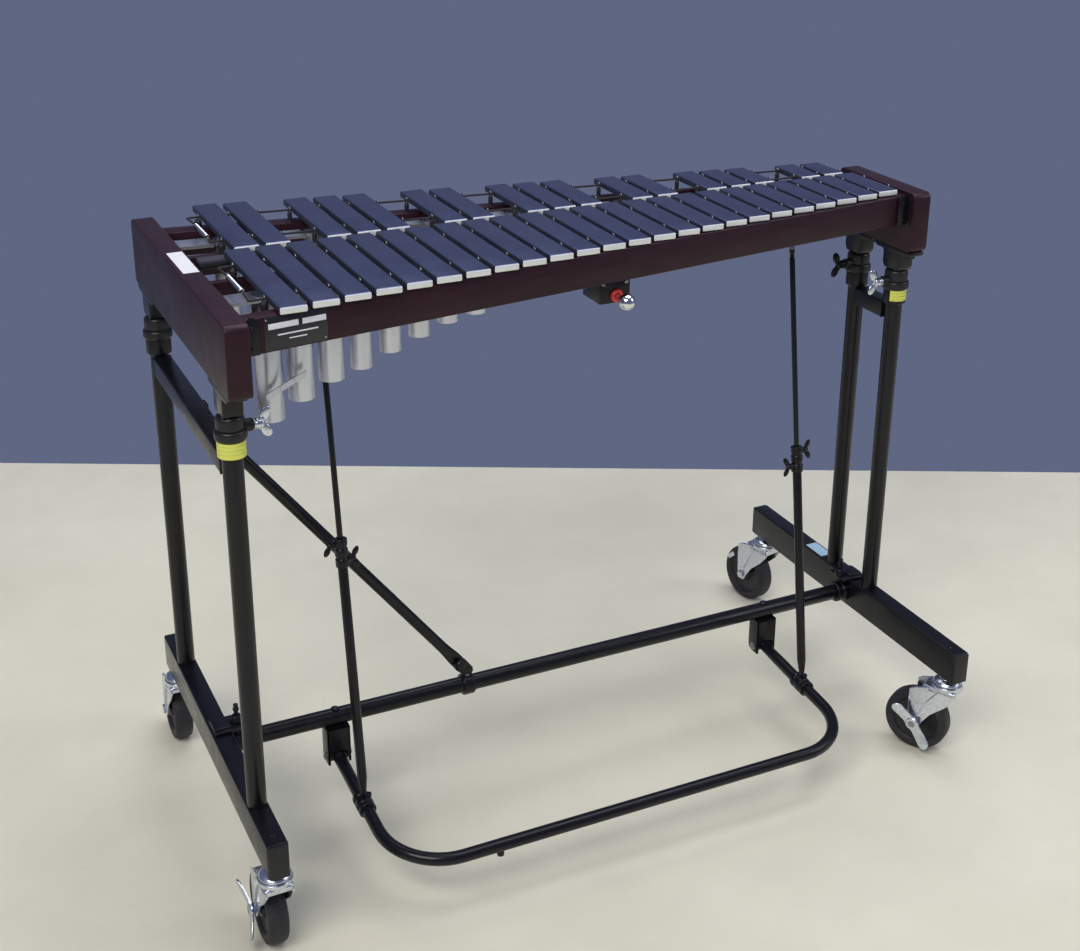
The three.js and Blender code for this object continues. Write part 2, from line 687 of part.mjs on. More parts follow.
// The runs are the octaves from each C up to the next; the last holds what is left.
const octaveStart = (octave) => BAR.firstX + (7 * octave - 0.5) * BAR.pitch;
const octaveRuns = [0, 1, 2, 3].map((octave) => [octaveStart(octave), octaveStart(octave + 1)]);

addRow("naturals_octave", NATURAL_ROW, naturalCentres, [naturalFrontNode, naturalRearNode], octaveRuns);
addRow(
  "accidentals_octave",
  ACCIDENTAL_ROW,
  accidentalCentres,
  [accidentalFrontNode, accidentalRearNode],
  octaveRuns,
);

// ---- Resonators ------------------------------------------------------------------------

// Length of the stopped tube below a bar: a quarter of its note's wavelength, less the mouth's share.
const tubeLength = (semitones) =>
  Math.max(RESONATOR.shortest, RESONATOR.longest * 2 ** (-semitones / 12) - RESONATOR.mouth);

function tubeRadius(position, semitones) {
  const { wide, middle, narrow, wideCount, narrowFrom } = RESONATOR_RADII;
  if (position < wideCount) return wide;
  return semitones < narrowFrom ? middle : narrow;
}

// The row's tubes, closed below and open above, with the flat strip that holds them together.
function resonatorBank(line, [leftHalf, rightHalf], notes, sides) {
  const { top, wall, floor } = RESONATOR;
  const plugs = [];
  const bores = [];
  notes.forEach(({ x, semitones }, position) => {
    const radius = tubeRadius(position, semitones);
    const y = lineY(line, x);
    const bottom = top - tubeLength(semitones);
    plugs.push(rod(vector(x, y, bottom), vector(x, y, top), radius, sides));
    bores.push(rod(vector(x, y, bottom + floor), vector(x, y, top + 1), radius - wall, sides));
  });
  const front = [line[0] - leftHalf, line[1] - rightHalf];
  const rear = [line[0] + leftHalf, line[1] + rightHalf];
  const stripTop = top - STRIP.drop;
  const strip = rail(front, rear, stripTop - STRIP.thickness, stripTop);
  return cut(join(strip, ...plugs), ...bores);
}

const octaveSemitones = (i) => 12 * Math.floor(i / 7) + NATURAL_SEMITONES[i % 7];
const naturalNotes = naturals.map((i) => ({ x: naturalX(i), semitones: octaveSemitones(i) }));
const accidentalNotes = accidentals.map((i) => ({
  x: accidentalX(i),
  semitones: octaveSemitones(i) + 1,
}));

const naturalTubes = nodeLine(NATURAL_ROW, 0.5);
const accidentalTubes = blend(accidentalFrontNode, REAR_RAIL.front, 0.58);
add(
  "natural_resonators",
  resonatorBank(naturalTubes, STRIP.natural, naturalNotes, 10),
  aluminium(),
);
add(
  "accidental_resonators",
  resonatorBank(accidentalTubes, STRIP.accidental, accidentalNotes, 8),
  aluminium(),
);

// ---- Damper bar and control ------------------------------------------------------------

const rowGap = blend(NATURAL_ROW.rear, ACCIDENTAL_ROW.front, 0.5);

// Felt-topped bar under the ends of both rows, with an arm down to each push rod.
function damperBar() {
  const half = DAMPER.width / 2;
  const plan = [
    [DAMPER.from, lineY(rowGap, DAMPER.from) - half],
    [DAMPER.to, lineY(rowGap, DAMPER.to) - half],
    [DAMPER.to, lineY(rowGap, DAMPER.to) + half],
    [DAMPER.from, lineY(rowGap, DAMPER.from) + half],
  ];
  const arms = Object.values(PEDAL_X).map((x) => {
    const y = lineY(rowGap, x);
    const seat = ROD.topZ + 1;
    const outline = [
      [y - 7, DAMPER.bottom + 1],
      [y - 7, seat + 9],
      [ROD.topY - 9, seat + 9],
      [ROD.topY - 9, seat],
      [y + 7, seat],
      [y + 7, DAMPER.bottom + 1],
    ];
    return prism(SIDE, outline, x - 3, x + 3);
  });
  return join(prism(PLAN, plan, DAMPER.bottom, DAMPER.top), ...arms);
}

const shaft = (reach) => vector(KNOB.x, CONTROL.face - reach, KNOB.z);

// Box under the middle of the front rail, with the collar that its knob's shaft comes out of.
function controlBox() {
  const { left, right, face, depth, bottom } = CONTROL;
  const outline = roundedRectangle(left, right, bottom, FRONT_RAIL.bottom - GAP, 2);
  const body = prism(FRONT, outline, -face - depth, -face, 1);
  const collar = rod(shaft(-1), shaft(6), KNOB.collar, 14);
  return cut(join(body, collar), rod(shaft(-30), shaft(7), KNOB.shaft + GAP, 10));
}

function controlKnob() {
  const ball = new THREE.SphereGeometry(KNOB.radius, 14, 10);
  const centre = shaft(KNOB.reach);
  return join(
    rod(shaft(-16), shaft(KNOB.reach - 4), KNOB.shaft, 10),
    ball.translate(centre.x, centre.y, centre.z),
  );
}

add("damper_bar", damperBar(), blackPlastic());
add("control_box", controlBox(), blackPaint());
add("control_knob", controlKnob(), zinc());

export default group;
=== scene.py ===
"""Looks of a pedal-damped keyboard of 41 metal bars on its rolling stand.

Geometry below is written in millimetres in the row's frame (+X from the low notes to the high,
the player at -Y, +Z up from the floor) and turned into metres when a piece is made.
"""

from math import cos, pi, radians, sin, tau

import bmesh
import bpy
from mathutils import Matrix, Vector

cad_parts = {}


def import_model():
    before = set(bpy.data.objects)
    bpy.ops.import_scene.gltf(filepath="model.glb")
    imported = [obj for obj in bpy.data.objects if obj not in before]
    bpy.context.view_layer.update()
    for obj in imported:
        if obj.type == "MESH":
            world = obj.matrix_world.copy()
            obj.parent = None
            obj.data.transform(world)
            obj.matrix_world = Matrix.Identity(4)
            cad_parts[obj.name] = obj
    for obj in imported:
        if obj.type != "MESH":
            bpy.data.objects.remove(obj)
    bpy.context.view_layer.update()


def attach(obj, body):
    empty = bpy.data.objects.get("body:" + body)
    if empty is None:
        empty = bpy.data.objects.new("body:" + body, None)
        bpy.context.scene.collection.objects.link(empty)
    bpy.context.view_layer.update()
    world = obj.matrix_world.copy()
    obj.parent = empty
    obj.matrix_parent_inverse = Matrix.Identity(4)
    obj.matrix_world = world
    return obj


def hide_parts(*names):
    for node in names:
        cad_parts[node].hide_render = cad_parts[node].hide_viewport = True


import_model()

MM = 0.001
V = Vector
X, Y, Z = V((1, 0, 0)), V((0, 1, 0)), V((0, 0, 1))

# ---- Dimensions, millimetres ----

GAP = 0.3  # between faces of two bodies that meet
LEG_X = 528
BEAM_TOP, BEAM_BOTTOM, BEAM_HALF, BEAM_REACH, BEAM_CAP = 187.5, 137.5, 14, 282.5, 3
POSTS = {
    "left": {"front": -187, "rear": 194},
    "right": {"front": -47, "rear": 49},
}
POST_RADIUS = 12.7
COLLAR_TOP = 728
BOSS_Z, BOSS_REACH = 711, 27
CROSSBAR_HALF, CROSSBAR_Z = 12.5, (648, 674)
STRETCHER_Z, STRETCHER_RADIUS = 161.5, 12
BRACE_TOP, BRACE_FOOT = V((-505, 0, 628)), V((-171, 0, 198))
PEDAL_X = {"left": -363, "right": 357}
PIVOT = V((0, -3, 100))
PEDAL_FRONT = V((0, -264, 77))
PEDAL_BEND = 88
ROD_FOOT, ROD_TOP = V((0, -117, 105)), V((0, -14, 795))
COUPLER = (333, 373)
CASTER_Y, TRAIL, WHEEL_R = 255, 40, 50
LEVER_TILT = radians(47)
HEADINGS = {"front_left": 90, "rear_left": 89, "front_right": 121, "rear_right": 100}
PANEL_IN, PANEL_OUT, PANEL_BOTTOM, PANEL_TOP = 513, 542, 765, 855
PANEL_Y = {"left": (-248, 242), "right": (-94, 93)}
FRONT_RAIL, FRONT_RAIL_Z, FRONT_RAIL_DEPTH = (-217, -75), (806, 849.4), 22
NATURAL = {"front": (-226.7, -66.3), "rear": (30, 42.2), "cord": (-489, 503)}
ACCIDENTAL = {"front": (35.5, 49.2), "rear": (268.9, 110), "cord": (-470, 492)}
REAR_RAIL_FRONT, REAR_RAIL_BACK, REAR_RAIL_Z = (209, 86), (238, 98), (804, 838)
INNER_RAIL_Z, INNER_RAIL_HALF = (812, 838), 5
BAR_WIDTH, BAR_TOP, BAR_BOTTOM, PITCH, FIRST_X = 33.6, 859, 850, 40.65, -453
CORD_Z = (BAR_TOP + BAR_BOTTOM) / 2
NODE_SHARE = 0.224  # where the cord runs through a bar, as a share of its length from either end
SPREAD, SHIFT = 1.0145, 1.5  # the accidentals stand a little wider apart than the naturals
TUBE_TOP, STRIP_Z = 837, (832, 836)


def line_y(line, x):
    """The y at x of a line given by its y at the two end panels' inner faces."""
    return line[0] + (line[1] - line[0]) * (x + PANEL_IN) / (2 * PANEL_IN)


def between(a, b, share):
    return tuple(p + (q - p) * share for p, q in zip(a, b))


def shift(line, amount):
    return tuple(y + amount for y in line)


def strip(front, back, x0, x1, z):
    """The four corners, in order, of a flat strip between two lines."""
    return [(x, line_y(line, x), z) for line, x in ((front, x0), (front, x1), (back, x1), (back, x0))]


# ---- Materials ----


class Finish:
    """Builds one procedural material; positions are metres in the row's frame."""

    def __init__(self, name, roughness, metallic=0.0, coat=0.0, coat_roughness=0.1, specular=0.5):
        self.material = bpy.data.materials.new(name)
        self.material.use_nodes = True
        self.tree = self.material.node_tree
        self.shader = self.tree.nodes["Principled BSDF"]
        self.place = self.tree.nodes.new("ShaderNodeTexCoord").outputs["Object"]
        self.feed(self.shader, {
            "Metallic": metallic, "Specular IOR Level": specular, "Coat Weight": coat,
            "Coat Roughness": coat_roughness,
            "Roughness": self.ranged(self.noise(25, 4), 0.3, 0.7, *roughness),
        })

    def feed(self, node, inputs):
        """Gives each named input a number, a colour or another node's output."""
        for key, value in inputs.items():
            if isinstance(value, bpy.types.NodeSocket):
                self.tree.links.new(value, node.inputs[key])
            else:
                node.inputs[key].default_value = value

    def node(self, kind, inputs, **values):
        node = self.tree.nodes.new(kind)
        for key, value in values.items():
            setattr(node, key, value)
        self.feed(node, inputs)
        return node

    def noise(self, scale, detail=5, rough=0.55, distortion=0.0):
        """Noise with a scale per metre, one number or one for each axis."""
        scale = scale if isinstance(scale, tuple) else (scale,) * 3
        place = self.node("ShaderNodeMapping", {"Vector": self.place, "Scale": scale}).outputs["Vector"]
        inputs = {"Vector": place, "Scale": 1, "Detail": detail}
        inputs |= {"Roughness": rough, "Distortion": distortion}
        return self.node("ShaderNodeTexNoise", inputs).outputs["Fac"]

    def ranged(self, value, low, high, to_low=0.0, to_high=1.0):
        """Maps low..high to to_low..to_high."""
        inputs = {"Value": value, "From Min": low, "From Max": high, "To Min": to_low, "To Max": to_high}
        return self.node("ShaderNodeMapRange", inputs).outputs["Result"]

    def mix(self, share, first, second):
        """Mixes two colours, each a tuple or an output, by an output."""
        first, second = ((*c, 1) if isinstance(c, tuple) else c for c in (first, second))
        return self.node("ShaderNodeMix", {0: share, 6: first, 7: second}, data_type="RGBA").outputs[2]

    def done(self, colour, height, depth):
        """Sets the colour and a relief of that depth in millimetres, and returns the material."""
        relief = self.node("ShaderNodeBump", {"Distance": depth * MM, "Height": height})
        self.feed(self.shader, {"Base Color": colour, "Normal": relief.outputs["Normal"]})
        return self.material


def black_paint():
    f = Finish("satin_black_paint", (0.22, 0.36), coat=0.06, coat_roughness=0.12, specular=0.28)
    base = f.mix(f.noise(14, 3), (0.004, 0.004, 0.0065), (0.009, 0.009, 0.013))
    dust = f.ranged(f.noise((70, 70, 140), 9, 0.7), 0.62, 0.82, 0.0, 0.2)
    return f.done(f.mix(dust, base, (0.07, 0.068, 0.066)), f.noise(1100, 3), 0.05)


def rubber():
    f = Finish("rubber", (0.5, 0.72))
    dirt = f.ranged(f.noise(110, 7, 0.65), 0.5, 0.8, 0.0, 0.5)
    base = f.mix(dirt, (0.012, 0.011, 0.017), (0.06, 0.058, 0.06))
    return f.done(base, f.noise(700, 4), 0.08)


def zinc():
    f = Finish("bright_zinc", (0.16, 0.36), metallic=1.0)
    spots = f.ranged(f.noise(260, 6, 0.7), 0.45, 0.75)
    base = f.mix(spots, (0.72, 0.76, 0.84), (0.46, 0.48, 0.54))
    return f.done(base, f.noise(420, 3), 0.05)


def wood(name, grain):
    """Dark red-brown lacquer over wood; grain is the noise scale per metre along X, Y and Z."""
    f = Finish(name, (0.34, 0.48), coat=0.06, coat_roughness=0.2, specular=0.24)
    figure = f.noise(grain, 6, 0.55, 0.4)
    pores = f.noise(tuple(5 * g for g in grain), 4, 0.6)
    base = f.mix(f.ranged(figure, 0.25, 0.8), (0.017, 0.0045, 0.009), (0.034, 0.009, 0.017))
    base = f.mix(f.ranged(pores, 0.64, 0.74, 0.0, 0.5), base, (0.004, 0.0015, 0.002))
    scuffs = f.ranged(f.noise((37, 210, 95), 8, 0.72), 0.74, 0.8, 0.0, 0.5)
    return f.done(f.mix(scuffs, base, (0.1, 0.06, 0.056)), pores, 0.03)


def bar_face_painted_reflection():
    # The bars' satin metal, its dark blue base colour a painted reflection of the dark wall; clouds vary
    # that painted blue at random.
    f = Finish("bar_satin_painted_reflection", (0.26, 0.36), metallic=0.85)
    brushed = f.noise((1300, 14, 1300), 5, 0.6)
    clouds = f.noise((9, 6, 9), 4)
    base = f.mix(clouds, (0.095, 0.11, 0.215), (0.125, 0.142, 0.255))
    marks = f.ranged(f.noise((240, 150, 240), 9, 0.7), 0.7, 0.8, 0.0, 0.35)
    return f.done(f.mix(marks, base, (0.3, 0.31, 0.36)), brushed, 0.012)


def aluminium():
    f = Finish("satin_aluminium", (0.28, 0.42), metallic=0.95)
    drawn = f.noise((900, 900, 9), 5, 0.6)
    base = f.mix(f.noise((22, 22, 5), 5), (0.54, 0.56, 0.64), (0.68, 0.7, 0.78))
    marks = f.ranged(f.noise((130, 130, 60), 8, 0.7), 0.68, 0.8, 0.0, 0.4)
    return f.done(f.mix(marks, base, (0.36, 0.36, 0.38)), drawn, 0.02)


def plain(name, low, high, scale=(160, 5), relief=(900, 3), depth=0.03, roughness=(0.4, 0.55), **gloss):
    """A surface mottled between two colours; scale and relief are each a noise scale and detail."""
    f = Finish(name, roughness, **gloss)
    return f.done(f.mix(f.noise(*scale), low, high), f.noise(*relief), depth)


def cord_finish():
    f = Finish("braided_cord", (0.7, 0.85))
    strands = f.noise(900, 2)
    return f.done(f.mix(strands, (0.005, 0.005, 0.006), (0.026, 0.025, 0.028)), strands, 0.3)


def felt_finish():
    f = Finish("damper_felt", (0.85, 0.95))
    fibre = f.noise(650, 8, 0.75)
    return f.done(f.mix(fibre, (0.02, 0.019, 0.036), (0.055, 0.053, 0.09)), fibre, 0.3)


PAINT = black_paint()
PLASTIC = plain(
    "black_plastic", (0.008, 0.008, 0.01), (0.018, 0.018, 0.021), (60, 4), (1500, 2), 0.06, (0.26, 0.42),
    specular=0.35,
)
RUBBER = rubber()
ZINC = zinc()
CHROME = plain(
    "chrome", (0.82, 0.84, 0.87), (0.68, 0.7, 0.73), (90, 4), (300, 2), 0.01, (0.04, 0.12), metallic=1.0
)
STEEL = plain("dull_steel", (0.2, 0.2, 0.22), (0.38, 0.38, 0.4), (500, 4), roughness=(0.3, 0.5),
              metallic=1.0)
WOOD_X = wood("lacquered_wood_rail", (7, 90, 110))
WOOD_Y = wood("lacquered_wood_panel", (90, 7, 110))
BAR_FACE_PAINTED_REFLECTION = bar_face_painted_reflection()
# A lit copy of the bars' metal: its near-white colour is a painted highlight on the bar ends.
BAR_END_PAINTED_HIGHLIGHT = plain(
    "bar_end_painted_highlight", (0.74, 0.76, 0.72), (0.9, 0.91, 0.88), (60, 5), ((1400, 1400, 200), 3), 0.02,
    metallic=0.35,
)
# A shaded copy of the bars' metal: its near-black colour is painted shade on the sides between bars.
BAR_SIDE_PAINTED_SHADE = plain("bar_side_painted_shade", (0.014, 0.016, 0.032), (0.03, 0.034, 0.06), (90, 5))
TUBE = aluminium()
CORD = cord_finish()
FELT = felt_finish()
YELLOW = plain("yellow_band", (0.68, 0.72, 0.1), (0.82, 0.84, 0.17))
WHITE = plain("white_label", (0.72, 0.71, 0.76), (0.86, 0.85, 0.88))
BLUE = plain("pale_blue_label", (0.33, 0.5, 0.62), (0.42, 0.6, 0.72))
RED = plain("red_collar", (0.42, 0.02, 0.018), (0.62, 0.05, 0.04), roughness=(0.25, 0.4))
PLATE = plain("black_plate", (0.008, 0.008, 0.012), (0.02, 0.02, 0.026), roughness=(0.22, 0.34))

# ---- Shapes ----


def add(name, data):
    """A new object in the scene."""
    obj = bpy.data.objects.new(name, data)
    bpy.context.scene.collection.objects.link(obj)
    return obj


def frame_of(direction):
    """A rotation that carries +Z to the direction."""
    return Z.rotation_difference(V(direction).normalized()).to_matrix()


def rounded(profile, radius, steps=3):
    """Rounds the inner corners of an open profile of 2D points."""
    points = [V(p) for p in profile]
    result = [points[0]]
    for before, corner, after in zip(points, points[1:], points[2:]):
        reach = min(radius, (before - corner).length * 0.45, (after - corner).length * 0.45)
        start = corner + (before - corner).normalized() * reach
        end = corner + (after - corner).normalized() * reach
        for i in range(steps + 1):
            t = i / steps
            result.append(start * (1 - t) ** 2 + corner * 2 * t * (1 - t) + end * t**2)
    return [tuple(p) for p in result + [points[-1]]]


class Shape:
    """Closed parts in millimetres that become one piece; a part's faces carry a material number."""

    def __init__(self, place=None):
        self.mesh = bmesh.new()
        self.place = place or Matrix.Identity(4)

    def take(self, part, mat=0, bevel=0.0, segments=3):
        """Bevels a part's sharp edges and adds it; mat is a slot number or picks one for a face."""
        part.normal_update()
        if bevel:
            edges = [e for e in part.edges if e.is_manifold and e.calc_face_angle(0) > 0.5]
            bmesh.ops.bevel(
                part, geom=edges, offset=bevel, segments=segments, profile=0.5,
                affect="EDGES", clamp_overlap=True,
            )
        bmesh.ops.recalc_face_normals(part, faces=part.faces)
        part.transform(self.place)
        for face in part.faces:
            face.material_index = mat(face) if callable(mat) else mat
        data = bpy.data.meshes.new("part")
        part.to_mesh(data)
        part.free()
        self.mesh.from_mesh(data)
        bpy.data.meshes.remove(data)

    def block(self, low, high, mat=0, bevel=1.0, segments=3):
        """A box between two opposite corners."""
        part = bmesh.new()
        bmesh.ops.create_cube(part, size=1)
        for vert in part.verts:
            vert.co = V(l + (c + 0.5) * (h - l) for l, h, c in zip(low, high, vert.co))
        self.take(part, mat, bevel, segments)

    def prism(self, outline, depth, mat=0, bevel=0.8, segments=3):
        """An outline of 3D points carried along the depth vector."""
        part = bmesh.new()
        near = [part.verts.new(p) for p in outline]
        far = [part.verts.new(V(p) + V(depth)) for p in outline]
        part.faces.new(near)
        part.faces.new(far[::-1])
        for i in range(len(near)):
            j = (i + 1) % len(near)
            part.faces.new((near[i], far[i], far[j], near[j]))
        self.take(part, mat, bevel, segments)

    def lathe(self, profile, start, direction, mat=0, sides=40):
        """Turns (radius, distance) points about the direction; off the axis they make a ring."""
        turn = frame_of(direction)
        part = bmesh.new()
        rows = []
        for radius, distance in profile:
            if radius < 1e-6:
                rows.append([part.verts.new(V(start) + turn @ V((0, 0, distance)))])
                continue
            row = []
            for i in range(sides):
                angle = tau * i / sides
                local = V((radius * cos(angle), radius * sin(angle), distance))
                row.append(part.verts.new(V(start) + turn @ local))
            rows.append(row)
        pairs = list(zip(rows, rows[1:]))
        if profile[0][0] > 0:
            pairs.append((rows[-1], rows[0]))
        for a, b in pairs:
            for i in range(sides):
                j = (i + 1) % sides
                corners = [a[i % len(a)], a[j % len(a)], b[j % len(b)], b[i % len(b)]]
                unique = list(dict.fromkeys(corners))
                if len(unique) > 2:
                    part.faces.new(unique)
        self.take(part, mat)

    def pin(self, start, end, radius, mat=0, sides=24):
        """A solid round bar with softened ends."""
        length = (V(end) - V(start)).length
        profile = rounded([(0, 0), (radius, 0), (radius, length), (0, length)], 0.8, 2)
        self.lathe(profile, start, V(end) - V(start), mat, sides)

    def hexagon(self, start, direction, radius, height, mat=0):
        """A hexagon head with its top edges chamfered."""
        profile = [(0, 0), (radius, 0), (radius, height * 0.8), (radius * 0.86, height), (0, height)]
        self.lathe(profile, start, direction, mat, 6)

    def sweep(self, path, sizes, mat=0, sides=20, up=Z):
        """A tube along a path; sizes hold each point's half width and half thickness."""
        part = bmesh.new()
        points = [V(p) for p in path]
        if not isinstance(sizes, list):
            sizes = [(sizes, sizes)] * len(points)
        rows = []
        side = None
        for i, (point, size) in enumerate(zip(points, sizes)):
            ahead = (points[min(i + 1, len(points) - 1)] - points[max(i - 1, 0)]).normalized()
            side = ahead.cross(up) if side is None else side - ahead * side.dot(ahead)
            side.normalize()
            lift = side.cross(ahead)
            row = []
            for k in range(sides):
                angle = tau * k / sides
                offset = side * size[0] * cos(angle) + lift * size[1] * sin(angle)
                row.append(part.verts.new(point + offset))
            rows.append(row)
        for a, b in zip(rows, rows[1:]):
            for k in range(sides):
                n = (k + 1) % sides
                part.faces.new((a[k], a[n], b[n], b[k]))
        part.faces.new(rows[0][::-1])
        part.faces.new(rows[-1])
        self.take(part, mat)

    def blob(self, centre, radii, turn, detail=3):
        """A rounded lump with three radii, turned about its centre."""
        part = bmesh.new()
        bmesh.ops.create_icosphere(part, subdivisions=detail, radius=1)
        for vert in part.verts:
            vert.co = V(centre) + turn @ V(a * b for a, b in zip(vert.co, radii))
        self.take(part)

    def piece(self, name, materials, body, nodes=(), sharp=32):
        """Turns the collected parts into an object that rides on a body."""
        data = bpy.data.meshes.new(name)
        bmesh.ops.scale(self.mesh, vec=(MM, MM, MM), verts=self.mesh.verts)
        for face in self.mesh.faces:
            face.smooth = True
        self.mesh.to_mesh(data)
        self.mesh.free()
        data.set_sharp_from_angle(angle=radians(sharp))
        for material in materials:
            data.materials.append(material)
        obj = add(name, data)
        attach(obj, body)
        if nodes:
            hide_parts(*nodes)


def wing(shape, root, tip, half_width, half_thickness, face_normal):
    """One oval wing of a wing screw, between its root and its tip."""
    root, tip = V(root), V(tip)
    along = (tip - root).normalized()
    normal = V(face_normal).normalized()
    turn = Matrix((along, normal.cross(along), normal)).transposed()
    half = (tip - root).length / 2
    shape.blob((root + tip) / 2, (half, half_width, half_thickness), turn)


# ---- Leg frames ----


def base_beam(side, x):
    """A square tube with a plastic cap in each end and a rivet above each caster."""
    s = Shape()
    reach = BEAM_REACH - BEAM_CAP
    s.block((x - BEAM_HALF, -reach, BEAM_BOTTOM), (x + BEAM_HALF, reach, BEAM_TOP), 0, 2.6, 4)
    half = BEAM_HALF - 1
    for sign in (-1, 1):
        near, far = sorted((sign * (reach - 0.4), sign * BEAM_REACH))
        s.block((x - half, near, BEAM_BOTTOM + 1), (x + half, far, BEAM_TOP - 1), 1, 1.6)
        s.lathe([(0, 0), (5, 0), (4, 1.4), (0, 1.8)], (x, sign * CASTER_Y, BEAM_TOP), Z, 0, 24)
    s.piece(f"beam_tube_{side}", [PAINT, PLASTIC], "stand", [f"base_beam_{side}"])


def bolt_direction(side, place):
    """The left rear bolt points to the rear, the others inward."""
    if (side, place) == ("left", "rear"):
        return Y
    return X if side == "left" else -X


def post(side, place, x, y):
    """A tube, its painted sleeve, plastic ring and collar, and the boss of the wing bolt."""
    s = Shape()
    sleeve_foot, ring_foot, collar_foot = 674.5, 698, 710
    radius, bore, foot, top = POST_RADIUS, 11.4, BEAM_TOP + GAP, sleeve_foot + 1.5
    tube = [(radius - 0.1, foot), (radius, foot + 0.5), (radius, top), (bore, top), (bore, foot)]
    sleeve = [(bore, 0), (15.4, 0), (17, 2), (17, 24.5), (bore, 24.5)]
    ring = [(bore, 0), (18.8, 0), (19.8, 2.5), (19.8, 10.4), (18.2, 12.6), (bore, 12.6)]
    height = COLLAR_TOP - collar_foot
    collar = [(bore, 0), (16.4, 0), (17.2, 3), (17.2, height - 3), (15.4, height), (bore, height)]
    for profile, z, mat in (
        (tube, 0, 0), (rounded(sleeve, 1.2), sleeve_foot, 0), (rounded(ring, 1), ring_foot, 1),
        (rounded(collar, 1.4), collar_foot, 1),
    ):
        s.lathe(profile, (x, y, z), Z, mat, 48)
    direction = bolt_direction(side, place)
    boss = rounded([(0, 0), (8, 0), (8, 12.6), (6.6, 14.2), (0, 14.2)], 1.4)
    s.lathe(boss, V((x, y, BOSS_Z)) + direction * (BOSS_REACH - 14.2), direction, 1, 36)
    s.piece(f"post_tube_{side}_{place}", [PAINT, PLASTIC], "stand", [f"post_{side}_{place}"])
    if place == "front":
        yellow_band(side, V((x, y, 0)))


def yellow_band(side, axis):
    """A blank label on the sleeve, with three dotted lines; angles are from +X, in degrees."""
    s = Shape()
    low, high, start, sweep = (676.8, 696.6, 165, 170) if side == "left" else (681, 697.4, 209, 106)
    steps, dots, dot = 32, 14, V((0.4, 0.4, 0.2))

    def arc(radius, degrees):
        turns = [radians(d) for d in degrees]
        return [axis + V((radius * cos(t), radius * sin(t), low)) for t in turns]

    degrees = [start + sweep * i / steps for i in range(steps + 1)]
    s.prism(arc(17.3, degrees) + arc(16.9, degrees[::-1]), (0, 0, high - low), 0, 0)
    for line, share in enumerate((0.8, 0.62, 0.74)):
        row = [start + sweep * (0.5 + share * (i / (dots - 1) - 0.5)) for i in range(dots)]
        for point in arc(17.25, row):
            centre = point + Z * (high - low - 4 - 5 * line)
            s.block(centre - dot, centre + dot, 1, 0)
    s.piece(f"yellow_band_{side}", [YELLOW, PLASTIC], "stand")


def inner_tube(side, place, x, y):
    """The sliding tube with the saddle under the end panel and its two bolt heads."""
    s = Shape()
    radius, foot, seat, width = 11, 560, PANEL_BOTTOM - GAP, 25
    s.pin((x, y, foot), (x, y, seat - 3), radius, 0, 40)
    half = [(15, COLLAR_TOP + 0.7), (17, 731), (20, 737), (20, 753), (22, 756), (37, 756.4), (42.5, 758.4),
            (44, 762), (44, seat)]
    near = x - width / 2
    outline = [(near, y + v, w) for v, w in half] + [(near, y - v, w) for v, w in half[::-1]]
    s.prism(outline, (width, 0, 0), 0, 1.4)
    for offset in (-33, 33):
        s.hexagon((x, y + offset, 756.2), -Z, 4.6, 3)
    node = f"inner_tube_{side}_{place}"
    s.piece(f"inner_post_{side}_{place}", [PAINT], "keyboard", [node])


def wing_bolt(side, place, x, y):
    """A washer, a hub and two wings; the rear bolts are black, the front ones bright."""
    direction = bolt_direction(side, place)
    s = Shape()
    start = V((x, y, BOSS_Z)) + direction * BOSS_REACH

    def reach(distance, up=0):
        return start + direction * distance + Z * up

    washer = rounded([(0, 0), (6.4, 0), (6.4, 1.4), (0, 1.4)], 0.4)
    hub = rounded([(0, 0), (5.6, 0), (6.8, 3), (6, 10), (3.4, 12), (0, 12)], 1.2)
    s.lathe(washer, reach(0.5), direction, 0, 32)
    s.lathe(hub, reach(1.6), direction, 0, 32)
    normal = direction.cross(Z)
    wing(s, reach(8, -9), reach(12, 10), 4.4, 3, normal)
    wing(s, reach(11, 2), reach(18.6, 20), 6.2, 2.1, normal)
    wing(s, reach(11, -2), reach(20.4, -18.6), 6.2, 2.1, normal)
    node = f"wing_bolt_{side}_{place}"
    s.piece(f"wing_screw_{side}_{place}", [PAINT if place == "rear" else ZINC], node, [node])


def crossbar(side, x):
    """A square tube between the posts, with a weld bead round each end."""
    s = Shape()
    half, (low, high) = CROSSBAR_HALF, CROSSBAR_Z
    y0, y1 = POSTS[side]["front"] + POST_RADIUS + GAP, POSTS[side]["rear"] - POST_RADIUS - GAP
    s.block((x - half, y0, low), (x + half, y1, high), 0, 2.2, 4)
    for y in (y0 + 0.9, y1 - 0.9):
        s.block((x - half - 0.4, y - 0.8, low - 0.3), (x + half + 0.4, y + 0.8, high + 0.2), 0, 0.7, 2)
    s.piece(f"crossbar_tube_{side}", [PAINT], "stand", [f"upper_crossbar_{side}"])


for side, sign in (("left", -1), ("right", 1)):
    base_beam(side, sign * LEG_X)
    crossbar(side, sign * LEG_X)
    for place, y in POSTS[side].items():
        post(side, place, sign * LEG_X, y)
        inner_tube(side, place, sign * LEG_X, y)
        wing_bolt(side, place, sign * LEG_X, y)

# ---- Stretcher, clamps and brace ----


